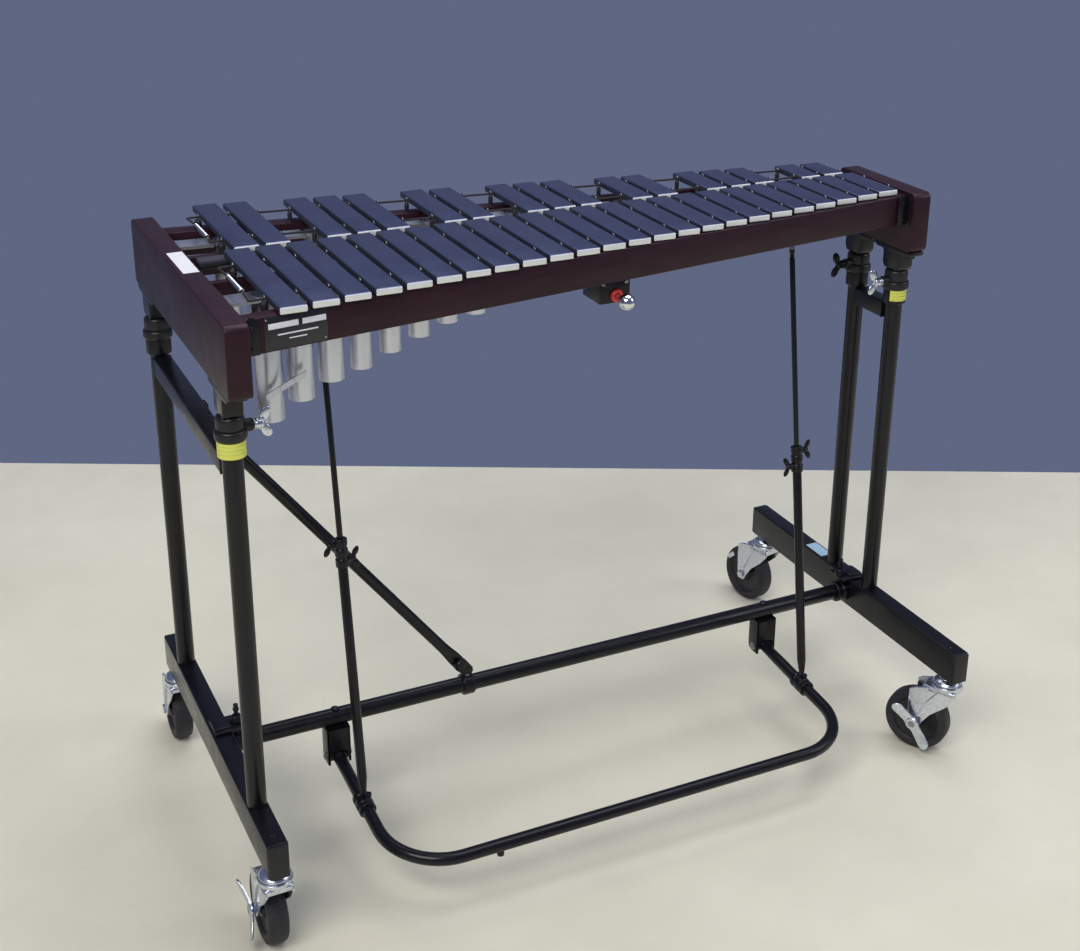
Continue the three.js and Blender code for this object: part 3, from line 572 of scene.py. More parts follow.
def stretcher():
    """The round tube with its end flanges, the brace's collar and the hangers' rivets."""
    s = Shape()
    z = STRETCHER_Z
    end = LEG_X - BEAM_HALF - GAP
    s.pin((-end, 0, z), (end, 0, z), STRETCHER_RADIUS, 0, 48)
    cup = [(11, 0), (17.6, 0), (17.6, 8), (15.5, 9.6), (15.5, 14), (17, 15.6), (16, 20), (11.8, 20)]
    for sign in (-1, 1):
        s.lathe(rounded(cup, 1), (sign * end, 0, z), (-sign, 0, 0), 0, 48)
    clamp = rounded([(11.8, 0), (15, 0), (16, 1.5), (16, 16.5), (15, 18), (11.8, 18)], 0.8)
    s.lathe(clamp, (-169, 0, z), X, 0, 48)
    s.block((-168, -3, z + 12), (-152, -0.2, z + 23), 0, 1.2)
    s.pin((-160, -5.5, z + 18), (-160, -2.5, z + 18), 4, 1)
    for x in PEDAL_X.values():
        s.lathe([(0, 3.4), (3, 3.2), (5.6, 1.8), (6.4, 0), (0, -1)], (x, 0, z + 11.5), Z, 0, 28)
    s.piece("stretcher_tube", [PAINT, STEEL], "stand", ["stretcher"])


def stretcher_clamp(side, sign):
    """A stepped plate on the base beam with the screw that holds the stretcher."""
    s = Shape()
    x, seat = sign * LEG_X, BEAM_TOP + GAP
    knob = x - sign * 24
    near, far = sorted((x + sign * 11, knob - sign * 7))
    s.block((near, -20, seat), (far, 20, seat + 4.4), 0, 1.8)
    near, far = sorted((x + sign * 10, knob + sign * 8.5))
    s.block((near, -13.5, seat + 2), (far, 13.5, seat + 7), 0, 2.2, 4)
    socket = rounded([(0, 0), (8.8, 0), (9.4, 5), (6.4, 12), (0, 12)], 1.4)
    s.lathe(socket, (knob, 0, seat + 3), Z, 0, 32)
    grip = rounded([(0, 0), (3.2, 0), (3, 8), (4.8, 11), (3.2, 15.5), (3.6, 19), (0, 20)], 0.9)
    s.lathe(grip, (knob, 0, seat + 12.8), Z, 0, 28)
    s.piece(f"stretcher_joint_{side}", [PAINT], "stand", [f"stretcher_clamp_{side}"])


def brace():
    """A tube flattened at both ends, its plate on the crossbar, and its lug on the collar."""
    s = Shape()
    along = (BRACE_FOOT - BRACE_TOP).normalized()
    length = (BRACE_FOOT - BRACE_TOP).length
    # distance from the top, half width, half thickness
    stations = [(0, 8, 2.2), (10, 8.4, 2.4), (26, 8.2, 5.6), (38, 8, 8), (length - 44, 8, 8),
                (length - 30, 8.6, 6), (length - 16, 9.8, 3.2), (length - 4, 10, 2.8), (length, 8.4, 2.8)]
    path = [BRACE_TOP + along * d for d, _, _ in stations]
    s.sweep(path, [(t, w) for _, w, t in stations], 0, 28, up=along.cross(Y))
    plate, pivot = -LEG_X + CROSSBAR_HALF + GAP, BRACE_TOP + Z * 4
    s.block((plate, -10, 622), (plate + 3.8, 10, 671), 0, 1.4)
    s.block((plate, -4.8, 624), (pivot.x + 3, 4.8, 640), 0, 1.4)
    s.pin(pivot - Y * 7.4, pivot + Y * 7.4, 4.6, 1)
    lug = [(-184, -0.3, 200), (-178, -0.3, 190), (-166, -0.3, 180), (-155, -0.3, 178.5), (-151, -0.3, 184),
           (-152, -0.3, 190), (-164, -0.3, 206), (-172, -0.3, 208)]
    s.prism(lug, (0, -5.4, 0), 0, 1.4)
    s.lathe(rounded([(0, 0), (8.6, 0), (8.6, 4), (6.4, 7), (0, 8)], 1), (-172, -5, 199.5), -Y, 0, 32)
    s.piece("brace_tube", [PAINT, STEEL], "stand", ["diagonal_brace"])


stretcher()
stretcher_clamp("left", -1)
stretcher_clamp("right", 1)
brace()

# ---- Casters ----


def caster_place(place):
    """The place of a caster's swivel axis, its wheel trailing towards the heading."""
    row, side = place.split("_")
    x = -LEG_X if side == "left" else LEG_X
    y = -CASTER_Y if row == "front" else CASTER_Y
    return Matrix.Translation((x, y, 0)) @ Matrix.Rotation(radians(HEADINGS[place]), 4, "Z")


def fork(place):
    """The swivel's two cups, the crown, two ribbed legs and the axle."""
    s = Shape(caster_place(place))
    swivel = Z * 124.5
    cup = rounded([(0, -6.5), (22, -6.5), (23, -3.5), (22.6, 0), (0, 0)], 1)
    s.lathe(cup, swivel, Z, 0, 48)
    dome = rounded([(0, 1.5), (20.5, 1.5), (21.4, 3.5), (18.6, 7), (12, 9.5), (11, 12.6), (0, 12.6)], 1.2)
    s.lathe(dome, swivel, Z, 0, 48)
    s.lathe([(0, -0.5), (20, -0.5), (20, 1.9), (0, 1.9)], swivel, Z, 1, 40)
    crown = [(-19, -19, 109), (-20, 19, 109), (22, 19, 109), (33, 15, 109), (33, -15, 109), (22, -19, 109)]
    s.prism(crown, (0, 0, 10), 0, 3.2, 4)
    leg = [(48.5, 46), (50, 54), (52, 86), (51, 107), (44, 112), (20, 118), (-19, 118), (-22, 110),
           (-8, 92), (16, 70), (27, 54), (32, 44), (36, 40), (44, 40)]
    for y in (-19, 15.8):
        s.prism([(u, y, w) for u, w in leg], (0, 3.2, 0), 0, 1.2)
    for sign in (-1, 1):
        rib = [(8, sign * 18.6, 112), (22, sign * 19.4, 92), (34, sign * 19.4, 66), (39, sign * 19, 55)]
        s.sweep(rib, [(3.2, 1.2), (2.6, 1.6), (2.2, 1.5), (1.4, 0.8)], 0, 12)
    s.pin((TRAIL, -20, WHEEL_R), (TRAIL, 22.6, WHEEL_R), 5, 0, 28)
    s.hexagon((TRAIL, 19, WHEEL_R), Y, 7.5, 4)
    node = f"caster_fork_{place}"
    s.piece(f"caster_housing_{place}", [ZINC, STEEL], node, [node])


def wheel(place):
    """A rubber tyre on a plastic disc, one of them with a blank label."""
    s = Shape(caster_place(place))
    half = [(37, 13.2), (44, 14), (48, 12.4), (WHEEL_R, 7.5)]
    tyre = rounded([(u, -w) for u, w in half] + half[::-1] + [(34, 10), (34, -10)], 1.6)
    s.lathe(tyre, (TRAIL, 0, WHEEL_R), Y, 0, 72)
    disc = rounded([(5.3, -14), (11, -14), (13, -12), (15, -7), (30, -8), (35, -9.6), (35, 9.6), (30, 8),
                    (15, 7), (13, 12), (11, 14), (5.3, 14)], 1)
    s.lathe(disc, (TRAIL, 0, WHEEL_R), Y, 1, 64)
    if place == "rear_right":
        sticker = [V((TRAIL + u, 13.6, WHEEL_R + w)) for u, w in ((25, 26), (39, 14), (44, 19), (30, 32))]
        s.prism(sticker, (0, 0.5, 0), 2, 0.2)
    node = f"caster_wheel_{place}"
    s.piece(f"caster_tyre_{place}", [RUBBER, PLASTIC, WHITE], node, [node])


def brake_lever(side):
    """A pressed strip across the axle, its two arms bent away from the wheel."""
    s = Shape(caster_place(f"front_{side}"))
    axle = V((TRAIL, 23.5, WHEEL_R))
    turn = Matrix.Rotation(-LEVER_TILT, 3, "Y")
    flat, slope, thick = 12, 0.3, 2.8
    # distance along the strip, half width
    arm = [(10, 8.2), (24, 8.6), (33, 9), (38, 7.4), (41.4, 3.6), (42, 0.1)]
    strip_edge = [(-u, w) for u, w in arm[::-1]] + [(0, 10)] + arm
    part = bmesh.new()
    rows = []
    for lift, sign in ((0, 1), (0, -1), (thick, -1), (thick, 1)):
        row = []
        for u, w in strip_edge:
            bend = max(0, abs(u) - flat) * slope
            row.append(part.verts.new(axle + turn @ V((u, bend + lift, sign * w))))
        rows.append(row)
    for a, b in zip(rows, rows[1:] + rows[:1]):
        for i in range(len(a) - 1):
            part.faces.new((a[i], a[i + 1], b[i + 1], b[i]))
    for i in (0, -1):
        part.faces.new([row[i] for row in rows])
    bmesh.ops.recalc_face_normals(part, faces=part.faces)
    s.take(part, 0, 0.8)
    boss = rounded([(5.4, 0), (11, 0), (11, 2), (9, 4), (5.4, 4)], 0.8)
    s.lathe(boss, axle, Y, 0, 40)
    s.hexagon(axle, Y, 6.4, 4.1, 1)
    s.piece(f"brake_tab_{side}", [ZINC, STEEL], f"brake_lever_{side}", [f"brake_lever_{side}"])


for place in HEADINGS:
    fork(place)
    wheel(place)
brake_lever("left")
brake_lever("right")

# ---- Pedal and push rods ----


def hanger(side, x):
    """A channel under the stretcher: two flanks with washers, a notched web and a top."""
    s = Shape()
    low, top = 90, STRETCHER_Z - STRETCHER_RADIUS - GAP
    half, front, rear, wall = 17, -14, 12, 3
    flank = [(front, low), (2, low), (9, low + 3), (rear, low + 9), (rear, top), (front, top)]
    washer = rounded([(0, 0), (6.4, 0), (6.4, 1.2), (0, 1.2)], 0.4)
    for sign in (-1, 1):
        pivot = PIVOT + X * (x + sign * half)
        s.prism([(min(pivot.x, pivot.x - sign * wall), y, z) for y, z in flank], (wall, 0, 0), 0, 0.8)
        s.lathe(washer, pivot, X * sign, 1, 28)
        s.hexagon(pivot, X * sign, 4.6, 3.4, 1)
    corner = [(half - 1.4, low), (half, low + 3), (half, top)]
    notch = [(13.4, low), (13.4, low + 14), (11, low + 19), (6, low + 21)]
    web = [(x - u, w) for u, w in notch[::-1] + corner] + [(x + u, w) for u, w in corner[::-1] + notch]
    s.prism([(u, front, w) for u, w in web], (0, wall, 0), 0, 0.8)
    s.block((x - half, front, top - wall), (x + half, rear, top), 0, 0.8)
    s.piece(f"hanger_channel_{side}", [PAINT, STEEL], "stand", [f"pedal_hanger_{side}"])


DROP = (PIVOT.z - PEDAL_FRONT.z) / (PIVOT.y - PEDAL_FRONT.y)


def pedal_point(x, y):
    """A point on the pedal's sloping plane."""
    return V((x, y, PIVOT.z - DROP * (PIVOT.y - y)))


def pedal():
    """A tube bent to a U with squeezed ends, and a collar at each push rod."""
    s = Shape()
    front, r = PEDAL_FRONT.y, 9
    # y, half width, half thickness
    run = [(-4, r, 6.6), (-16, 9.4, 6.4), (-34, 9.2, 7.6), (-56, r, r), (ROD_FOOT.y, r, r),
           (front + PEDAL_BEND, r, r)]
    steps = 12
    path, sizes = [], []
    for sign, x in ((-1, PEDAL_X["left"]), (1, PEDAL_X["right"])):
        half = [(pedal_point(x, y), (w, t)) for y, w, t in run]
        centre = V((x - sign * PEDAL_BEND, front + PEDAL_BEND, 0))
        for i in range(1, steps + 1):
            angle = pi / 2 * i / steps
            turn = centre + PEDAL_BEND * V((sign * cos(angle), -sin(angle), 0))
            half.append((pedal_point(turn.x, turn.y), (r, r)))
        half = half if sign < 0 else half[::-1]
        path += [p for p, _ in half]
        sizes += [w for _, w in half]
    s.sweep(path, sizes, 0, 28)
    rings = [(8.5, 0), (12, 0), (12.5, 2), (12.5, 7), (11, 8.2), (11, 10), (12.5, 11.2), (12.5, 22),
             (11, 23.2), (11, 25), (12.4, 26.4), (12.4, 31), (11.6, 32), (8.5, 32)]
    for x in PEDAL_X.values():
        pivot = PIVOT + X * x
        s.pin(pivot - X * 13, pivot + X * 13, 8.6, 0, 32)
        s.pin(pivot - X * 16.6, pivot + X * 16.6, 4, 1, 24)
        s.lathe(rounded(rings, 0.7), pedal_point(x, ROD_FOOT.y + 15), V((0, -1, -DROP)), 0, 40)
        s.pin((x + 8, -113, 96), (x + 8, -113, 101.6), 4.4)
    stop = pedal_point(-222, front)
    s.lathe(rounded([(0, 0), (4.2, 0), (4.2, 9), (5, 10), (5, 16), (0, 16)], 0.8), stop, -Z, 0, 28)
    s.piece("pedal_frame", [PAINT, STEEL], "pedal", ["pedal"])


ALONG = (ROD_TOP - ROD_FOOT).normalized()
ROD_LENGTH = (ROD_TOP - ROD_FOOT).length


def push_rods(side, x):
    """The lower tube with its coupler and wing screws, and the rod that slides in it."""
    foot = X * x + ROD_FOOT
    s = Shape()
    bore, wide, (a, b) = 4.4, 6.75, COUPLER
    tube = [(0, 0), (3.6, 0), (bore, 6), (wide, 26), (wide, a + 1), (bore, a + 1), (bore, 242), (0, 240)]
    s.lathe(rounded(tube, 1), foot, ALONG, 0, 32)
    sleeve = [(bore, a), (8.4, a), (9, a + 1), (9, a + 11), (8, a + 12.4), (8, a + 15), (9, a + 16.4),
              (9, b - 15), (8, b - 13.6), (8, b - 11), (9, b - 9.8), (9, b - 1), (8.2, b), (bore, b)]
    s.lathe(rounded(sleeve, 0.8), foot, ALONG, 0, 40)
    hub = rounded([(0, 0), (4.4, 0), (4.4, 9), (3, 12), (0, 12)], 0.9)
    upper = 1 if x > 0 else -1
    for sign, distance in ((upper, b - 8), (-upper, a + 10)):
        root = foot + ALONG * distance
        s.lathe(hub, root + X * sign * 7, X * sign, 0, 24)
        for way in (-1, 1):
            start = root + X * sign * 15 + ALONG * way
            wing(s, start, root + X * sign * 23 + ALONG * way * 14.5, 4.2, 1.6, X.cross(ALONG))
    node = f"push_rod_lower_{side}"
    s.piece(f"rod_tube_{side}", [PAINT], node, [node])
    rod = Shape()
    r, end = 4, ROD_LENGTH
    profile = [(0, 250), (r, 250), (r, end - 38), (3.2, end - 37), (3.2, end - 30), (r, end - 29),
               (r, end - 6), (3, end), (0, end)]
    rod.lathe(rounded(profile, 0.6), foot, ALONG, 0, 28)
    rod.hexagon(foot + ALONG * (end - 24), ALONG, 4.6, 7, 1)
    node = f"push_rod_upper_{side}"
    rod.piece(f"rod_upper_{side}", [PAINT, STEEL], node, [node])


for side, x in PEDAL_X.items():
    hanger(side, x)
    push_rods(side, x)
pedal()

# ---- Wooden frame ----


def arc_outline(y0, y1, z0, z1, radius, steps=6):
    """A rectangle with round corners, as points of y and z."""
    points = []
    for cy, cz, start in ((y1 - radius, z1 - radius, 0), (y0 + radius, z1 - radius, 1),
                          (y0 + radius, z0 + radius, 2), (y1 - radius, z0 + radius, 3)):
        for i in range(steps + 1):
            angle = pi / 2 * (start + i / steps)
            points.append((cy + radius * cos(angle), cz + radius * sin(angle)))
    return points


def end_panel(side, sign):
    s = Shape()
    inner = sign * PANEL_IN
    outline = arc_outline(*PANEL_Y[side], PANEL_BOTTOM, PANEL_TOP, 9)
    s.prism([(inner, y, z) for y, z in outline], (sign * (PANEL_OUT - PANEL_IN), 0, 0), 0, 1.7)
    s.piece(f"wood_panel_{side}", [WOOD_Y], "keyboard", [f"end_panel_{side}"], sharp=45)


def rail(name, front, back, heights, node, pin_line=None, centres=()):
    """A wooden rail from panel to panel, with the cord's posts along the pin line."""
    s = Shape()
    end = PANEL_IN - GAP
    s.prism(strip(front, back, -end, end, heights[0]), (0, 0, heights[1] - heights[0]), 0, 1.1)
    s.piece(f"wood_{name}", [WOOD_X], "keyboard", [node], sharp=45)
    if pin_line:
        posts(name, pin_line, centres, heights[1])


def posts(name, line, centres, z):
    """Steel posts with rubber sleeves and a hook round the cord, one in each gap between bars."""
    s = Shape()
    half = (centres[1] - centres[0]) / 2
    places = sorted({round(x + step * half) for x in centres for step in (-1, 1)})
    screw = rounded([(0, 0), (3, 0), (3, 1.2), (1.2, 1.4), (1.2, 14.4), (0, 14.4)], 0.3, 2)
    for x in places:
        y = line_y(line, x)
        s.lathe(screw, (x, y, z), Z, 0, 14)
        wide = 5 if x == places[0] else 3.2
        sleeve = rounded([(1.2, 2), (wide - 0.4, 2), (wide, 6), (wide, 11), (2.4, 14), (1.2, 14)], 0.6, 2)
        s.lathe(sleeve, (x, y, z), Z, 1, 16)
        hook = []
        for i in range(11):
            angle = radians(-120 + 27 * i)
            hook.append((x, y + 2.9 * cos(angle), CORD_Z + 0.6 + 3.6 * sin(angle)))
        s.sweep(hook, 0.85, 0, 8, up=X)
    s.piece(f"cord_posts_{name}", [STEEL, RUBBER], "keyboard")


NATURALS = range(24)
ACCIDENTALS = [i for i in NATURALS if i % 7 not in (2, 6) and i < 23]


def natural_x(i):
    return FIRST_X + i * PITCH


def accidental_x(i):
    return (natural_x(i) + PITCH / 2) * SPREAD + SHIFT


def semitones(i):
    """The natural's height above the lowest note."""
    return 12 * (i // 7) + (0, 2, 4, 5, 7, 9, 11)[i % 7]


NODES = {}
for key, row in (("natural", NATURAL), ("accidental", ACCIDENTAL)):
    NODES[key] = [between(row["front"], row["rear"], share) for share in (NODE_SHARE, 1 - NODE_SHARE)]
natural_centres = [natural_x(i) for i in NATURALS]
accidental_centres = [accidental_x(i) for i in ACCIDENTALS]

end_panel("left", -1)
end_panel("right", 1)
rail("front_rail", FRONT_RAIL, shift(FRONT_RAIL, FRONT_RAIL_DEPTH), FRONT_RAIL_Z, "front_rail")
for name, line, centres in (
    ("natural_front", NODES["natural"][0], natural_centres),
    ("natural_rear", NODES["natural"][1], natural_centres),
    ("accidental_front", NODES["accidental"][0], accidental_centres),
):
    low, high = shift(line, -INNER_RAIL_HALF), shift(line, INNER_RAIL_HALF)
    rail(name, low, high, INNER_RAIL_Z, f"{name}_rail", line, centres)
pins = NODES["accidental"][1]
rail("rear_rail", REAR_RAIL_FRONT, REAR_RAIL_BACK, REAR_RAIL_Z, "rear_rail", pins, accidental_centres)


def corner_bracket(side, sign):
    """A pressed angle with an arched top on the front rail's end."""
    s = Shape()
    width, low, top = 17.4, 807, FRONT_RAIL_Z[1]
    wall = sign * (PANEL_IN - GAP)
    x0 = min(wall, wall - sign * width)
    slope = (FRONT_RAIL[1] - FRONT_RAIL[0]) / (2 * PANEL_IN)
    y = line_y(FRONT_RAIL, wall - sign * width / 2) - 0.9 - slope * width / 2
    arch = [(x0 + width * t / 12, top - 3 + 5.4 * sin(pi * t / 12)) for t in range(12, -1, -1)]
    outline = [(x0, low), (x0 + width, low)] + arch
    s.prism([(u, y, w) for u, w in outline], (0, -2, 0), 0, 0.6, 2)
    s.sweep([(u, y - 0.9, w + 0.1) for u, w in arch], [(1.2, 0.5)] * len(arch), 0, 8, up=Y)
    flank = min(wall, wall - sign * 2)
    s.block((flank, y - 9, low), (flank + 2, y, top - 3), 0, 0.6)
    screw = [(0, 1.5), (1.8, 1.4), (2.6, 0.7), (2.8, 0), (0, -0.5)]
    for z in (815, 840):
        s.lathe(screw, (x0 + width / 2, y - 2, z), -Y, 0, 20)
    s.piece(f"corner_angle_{side}", [PAINT], "keyboard", [f"corner_bracket_{side}"])


corner_bracket("left", -1)
corner_bracket("right", 1)

# ---- Bars, cords and springs ----


def bar_light_and_shade_slot(face):
    """The slot of a bar's face by the way it faces: ends with a painted highlight, sides with painted
    shade, top and bottom with a painted reflection of the wall.
    """
    if abs(face.normal.y) > 0.75:
        return 1
    return 2 if abs(face.normal.x) > 0.75 else 0


def bars(name, row, centres, number):
    """The bars of one octave, seven pitches wide."""
    low = FIRST_X + (7 * number - 0.5) * PITCH
    s = Shape()
    half = BAR_WIDTH / 2
    for x in centres:
        if low < x < low + 7 * PITCH:
            ends = line_y(row["front"], x), line_y(row["rear"], x)
            # Each face takes a lit or shaded copy of the one bar metal: painted highlight on the ends,
            # painted shade on the sides, painted reflection on top and bottom.
            s.block((x - half, ends[0], BAR_BOTTOM), (x + half, ends[1], BAR_TOP), bar_light_and_shade_slot, 2, 4)
    s.piece(
        f"{name}_bars_{number + 1}", [BAR_FACE_PAINTED_REFLECTION, BAR_END_PAINTED_HIGHLIGHT, BAR_SIDE_PAINTED_SHADE], "keyboard",
        [f"{name}s_octave_{number + 1}"], sharp=50,
    )


def cords(name, row, lines, spring_from, spring_to):
    """The cord loop of a row and the spring that closes it at the low end."""
    low, high = row["cord"]
    count, radius, wire = 60, 1.5, 0.6

    def at(line, x):
        return V((x, line_y(line, x), CORD_Z))

    front, rear = (at(line, low) for line in lines)
    s = Shape()
    for line in lines:
        run = [at(line, low + 6 + (high - low - 6) * i / count) for i in range(count + 1)]
        s.sweep(run, radius, 0, 12)
    start, end = front.lerp(rear, spring_from), front.lerp(rear, spring_to)
    for corner, tip, line in ((front, start, lines[0]), (rear, end, lines[1])):
        turn = [at(line, low + 7), at(line, low + 1.6)]
        turn += [corner.lerp(tip, 0.04) - X * 2.6, corner.lerp(tip, 0.16) - X * 2]
        s.sweep(turn + [corner.lerp(tip, 0.5) - Z * 1.5, tip], radius, 0, 12)
    s.sweep([at(lines[0], high), at(lines[1], high)], radius, 0, 12)
    s.piece(f"{name}_cord", [CORD], "keyboard", sharp=60)
    coil = Shape()
    steps = 10  # points in each turn of the spring
    turns = int((end - start).length / 1.35)
    path = []
    for i in range(turns * steps + 1):
        angle = tau * i / steps
        round_axis = V((cos(angle), 0, sin(angle))) * 2.7
        path.append(start.lerp(end, i / (turns * steps)) + round_axis)
    coil.sweep(path, wire, 0, 6, up=X)
    for point, way in ((start, -1), (end, 1)):
        loop = []
        for i in range(steps + 1):
            angle = tau * i / steps
            loop.append(point + V((2.2 * sin(angle), way * (3.7 - 2.2 * cos(angle)), 0)))
        coil.sweep(loop, wire, 0, 6)
    coil.piece(f"{name}_spring", [CHROME], "keyboard", sharp=60)


for number in range(4):
    bars("natural", NATURAL, natural_centres, number)
    bars("accidental", ACCIDENTAL, accidental_centres, number)
cords("natural", NATURAL, NODES["natural"], 0.28, 0.72)
cords("accidental", ACCIDENTAL, NODES["accidental"], 0.2, 0.68)

# ---- Resonators ----


def tube_radius(position, tone):
    """The first three tubes are the widest, and the high notes' the narrowest."""
    if position < 3:
        return 16.8
    return 14.3 if tone < 28 else 9.6


def holed_cell(s, x0, x1, front, back, centre, radius):
    """A piece of strip round one tube, with its edges on the strip's front and rear lines."""
    corners = [V(corner).xy for corner in strip(back, front, x1, x0, 0)]
    rim = []
    for a, b in zip(corners, corners[1:] + corners[:1]):
        rim += [a.lerp(b, i / 8) for i in range(8)]
    part = bmesh.new()
    rows = []
    for z in STRIP_Z:
        outer = [part.verts.new((p.x, p.y, z)) for p in rim]
        inner = []
        for p in rim:
            out = (p - V(centre)).normalized() * radius
            inner.append(part.verts.new((centre[0] + out.x, centre[1] + out.y, z)))
        rows.append((outer, inner))
    (low_out, low_in), (high_out, high_in) = rows
    for i in range(len(rim)):
        j = (i + 1) % len(rim)
        part.faces.new((high_out[i], high_out[j], high_in[j], high_in[i]))
        part.faces.new((low_out[i], low_in[i], low_in[j], low_out[j]))
        part.faces.new((low_out[i], low_out[j], high_out[j], high_out[i]))
        part.faces.new((low_in[i], high_in[i], high_in[j], low_in[j]))
    s.take(part, 0)


def resonators(name, line, halves, notes):
    """A row of closed tubes in a flat strip with a hole for each."""
    s = Shape()
    front = (line[0] - halves[0], line[1] - halves[1])
    back = (line[0] + halves[0], line[1] + halves[1])
    end = PANEL_IN - GAP
    low, high = STRIP_Z
    wall, last = 1.4, -end
    for position, (x, tone) in enumerate(notes):
        radius = tube_radius(position, tone)
        inner = radius - wall
        y = line_y(line, x)
        length = max(14, 184 * 2 ** (-tone / 12) - 21)
        tube = [(0, -length), (radius, -length), (radius, 0), (inner, 0), (inner, 2 - length),
                (0, 2 - length)]
        s.lathe(rounded(tube, 0.6, 2), (x, y, TUBE_TOP), Z, 0, 48)
        room = min(radius + 1.2, PITCH / 2 - 0.5)
        x0, x1 = x - room, x + room
        if x0 - last > 0.5:
            s.prism(strip(front, back, last, x0, low), (0, 0, high - low), 0, 0)
        if line_y(back, x) - y > radius + 0.2:
            holed_cell(s, x0, x1, front, back, (x, y), radius - GAP)
        last = x1
    s.prism(strip(front, back, last, end, low), (0, 0, high - low), 0, 0)
    s.piece(f"{name}_tubes", [TUBE], "keyboard", [f"{name}_resonators"], sharp=40)


natural_tubes = between(NATURAL["front"], NATURAL["rear"], 0.5)
accidental_tubes = between(NODES["accidental"][0], REAR_RAIL_FRONT, 0.58)
resonators("natural", natural_tubes, (18, 18), [(natural_x(i), semitones(i)) for i in NATURALS])
sharps = [(accidental_x(i), semitones(i) + 1) for i in ACCIDENTALS]
resonators("accidental", accidental_tubes, (17, 6.5), sharps)

# ---- Damper bar and control ----

ROW_GAP = between(NATURAL["rear"], ACCIDENTAL["front"], 0.5)


def damper_bar():
    """A strip of felt on a plastic bar under the gap, and an arm over each push rod."""
    s = Shape()
    for half, low, high, mat, bevel, segments in (
        (11, 838.6, 844.4, 0, 0.9, 3), (10.2, 844.2, 849.6, 1, 1.6, 4),
    ):
        plan = strip(shift(ROW_GAP, -half), shift(ROW_GAP, half), -502, 504, low)
        s.prism(plan, (0, 0, high - low), mat, bevel, segments)
    seat = ROD_TOP.z + 1
    low, high = seat + 9, 840
    for x in PEDAL_X.values():
        y = line_y(ROW_GAP, x)
        outline = [(y - 7, high), (y - 7, low), (-23, low), (-23, seat), (y + 7, seat), (y + 7, high)]
        s.prism([(x - 3, v, w) for v, w in outline], (6, 0, 0), 0, 1.2)
        s.lathe(rounded([(0, 0), (6, 0), (6, 3), (0, 3)], 0.6), (x, ROD_TOP.y, low - 0.2), Z, 2, 24)
    s.piece("damper_strip", [PLASTIC, FELT, STEEL], "damper_bar", ["damper_bar"])


def control():
    """The box under the front rail with its red collar, and the ball knob on its stem."""
    s = Shape()
    face = -131
    centre = V((6, face, 783))
    s.block((-18, face, 772), (27, face + 50, 805.7), 0, 1.6)
    screw = [(0, 1.4), (2, 1.3), (2.9, 0.5), (3, 0), (0, -0.5)]
    for x in (-12.5, 21.5):
        s.lathe(screw, (x, face, 800), -Y, 2, 20)
    collar = rounded([(4.4, 0), (9, 0), (9, 4), (7.6, 6), (4.4, 6)], 0.9)
    s.lathe(collar, centre, -Y, 1, 40)
    s.piece("control_case", [PAINT, RED, STEEL], "keyboard", ["control_box"])
    k = Shape()
    stem = rounded([(0, -16), (4, -16), (4, 16), (5.6, 18), (5.6, 22), (0, 24)], 0.8)
    k.lathe(stem, centre, -Y, 0, 32)
    k.blob(centre - Y * 31, (11, 11, 11), Matrix.Identity(3), 4)
    k.piece("control_ball", [CHROME], "control_knob", ["control_knob"], sharp=60)


damper_bar()
control()

# ---- Plates and labels, all blank ----


def nameplate():
    """A dark plate on the front rail with two blank fields, two plain lines and two rivets."""
    s = Shape()
    thick = 0.7
    for x0, x1, z0, z1, proud, mat, bevel in (
        (-488, -410, 808, 848, thick, 0, 0.25), (-483, -446, 833, 840, 0.95, 1, 0.1),
        (-441, -411.5, 833, 840, 0.95, 1, 0.1), (-472, -422, 824.5, 826.2, 0.85, 1, 0),
        (-458, -436, 818.5, 819.9, 0.85, 1, 0),
    ):
        outline = strip(shift(FRONT_RAIL, -proud), FRONT_RAIL, x0, x1, z0)
        s.prism(outline, (0, 0, z1 - z0), mat, bevel, 2)
    rivet = [(0, 0.5), (1, 0.4), (1.4, 0), (0, -0.3)]
    for x, z in ((-485.4, 844.8), (-413, 811.4)):
        s.lathe(rivet, (x, line_y(FRONT_RAIL, x) - thick, z), -Y, 2, 16)
    s.piece("rail_plate", [PLATE, WHITE, STEEL], "keyboard")


def label(name, body, material, x, y, top):
    """A blank label on a top face, between two values of x and of y."""
    s = Shape()
    s.block((x[0], y[0], top - 0.1), (x[1], y[1], top + 0.3), 0, 0.1, 1)
    s.piece(name, [material], body)


def bent_strip():
    """A loose flat strip of aluminium across the fronts of the first two tubes."""
    s = Shape()
    points = [V((-466, -121, 709)), V((-448, -121.6, 718)), V((-430, -121.4, 726)), V((-414, -120.4, 732))]
    thick, width = Y * 1.4, Z * 8.4
    for a, b in zip(points, points[1:]):
        s.prism([a, b, b + thick, a + thick], width, 0, 0.3, 1)
    s.piece("tube_strip", [TUBE], "keyboard")


nameplate()
label("panel_label", "keyboard", WHITE, (-535.5, -515.5), (-34, 58), PANEL_TOP)
label("beam_label", "stand", BLUE, (LEG_X - 11, LEG_X + 10), (72, 118), BEAM_TOP)
bent_strip()

# ---- Floor, light and camera ----

CAMERA_AT = V((-0.9297, -1.8865, 1.4448))
YAW, PITCH_DOWN, ROLL = radians(25.967), radians(-20.951), radians(0.51)
FOCAL, CENTRE_U, CENTRE_V, WIDTH, HEIGHT, SENSOR = 1593.5, 560.07, 365.21, 1080, 951, 36


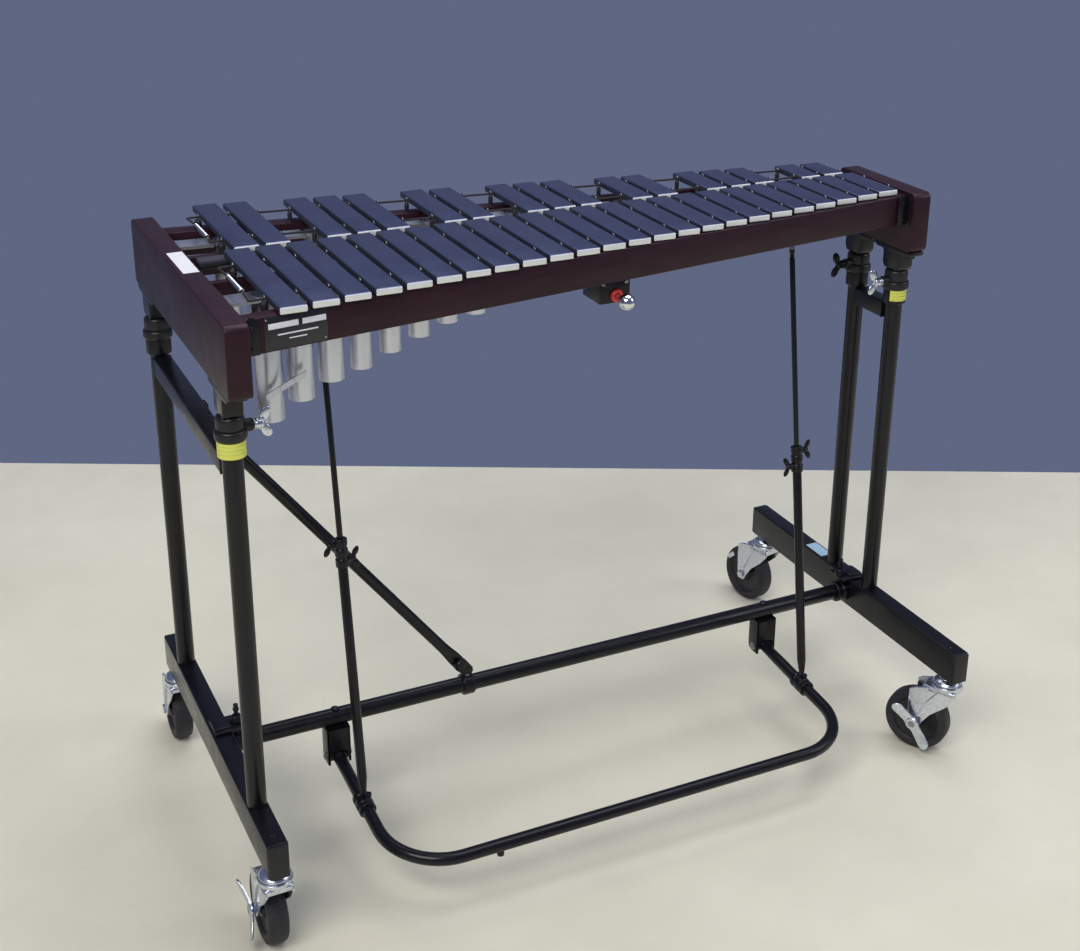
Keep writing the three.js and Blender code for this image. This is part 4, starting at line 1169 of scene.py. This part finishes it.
def floor():
    """A pale floor that ends square to the view, where the photograph's wall begins."""
    f = Finish("pale_floor", (0.5, 0.75))
    blotches = f.noise(2.4, 6, 0.6)
    base = f.mix(f.ranged(blotches, 0.3, 0.7), (0.74, 0.71, 0.56), (0.86, 0.82, 0.66))
    specks = f.ranged(f.noise(46, 10, 0.75), 0.62, 0.8, 0.0, 0.45)
    finish = f.done(f.mix(specks, base, (0.36, 0.35, 0.3)), f.noise(60, 6), 0.4)
    ahead = V((sin(YAW), cos(YAW), 0))
    across = V((cos(YAW), -sin(YAW), 0))
    foot = V((CAMERA_AT.x, CAMERA_AT.y, 0))
    near, far, wide = -4, 3.15, 5  # metres from the camera
    ends = ((near, -wide), (near, wide), (far, wide), (far, -wide))
    corners = [foot + ahead * d + across * w for d, w in ends]
    data = bpy.data.meshes.new("floor")
    data.from_pydata([tuple(c) for c in corners], [], [(0, 1, 2, 3)])
    data.materials.append(finish)
    add("floor", data)


def light(name, at, towards, size, power, colour):
    """A soft rectangular light; places and sizes in metres, power in watts."""
    data = bpy.data.lights.new(name, "AREA")
    data.shape = "RECTANGLE"
    data.size, data.size_y = size
    data.energy = power
    data.color = colour
    obj = add(name, data)
    obj.location = at
    obj.rotation_euler = (V(towards) - V(at)).to_track_quat("-Z", "Y").to_euler()


def world():
    """The even grey-blue of the room behind the object."""
    room = bpy.data.worlds.new("room")
    room.use_nodes = True
    back = room.node_tree.nodes["Background"]
    back.inputs["Color"].default_value = (0.115, 0.135, 0.225, 1)
    back.inputs["Strength"].default_value = 1.0
    bpy.context.scene.world = room


def camera():
    """The photograph's view, from its fitted place, angles, focal length and centre."""
    data = bpy.data.cameras.new("camera")
    data.sensor_width = SENSOR
    data.lens = FOCAL * SENSOR / WIDTH
    data.shift_x = (WIDTH / 2 - CENTRE_U) / WIDTH
    data.shift_y = (CENTRE_V - HEIGHT / 2) / WIDTH
    forward = V((sin(YAW), cos(YAW), 0))
    ahead = forward * cos(PITCH_DOWN) + Z * sin(PITCH_DOWN)
    level = V((cos(YAW), -sin(YAW), 0))
    lift = level.cross(ahead)
    right = level * cos(ROLL) + lift * sin(ROLL)
    up = lift * cos(ROLL) - level * sin(ROLL)
    obj = add("camera", data)
    obj.matrix_world = Matrix.Translation(CAMERA_AT) @ Matrix((right, up, -ahead)).transposed().to_4x4()
    bpy.context.scene.camera = obj


floor()
world()
light("key", (-2.3, -2.1, 3.4), (0, 0, 0.4), (2.4, 1.8), 100, (1.0, 0.98, 0.93))
light("top", (0.6, 0.4, 3.6), (0.1, 0, 0.3), (3.4, 2.4), 70, (0.97, 0.98, 1.0))
light("side", (2.8, -1.6, 2.2), (0.2, 0, 0.6), (1.6, 1.6), 22, (0.95, 0.97, 1.0))
camera()
bpy.context.scene.view_settings.view_transform = "Standard"
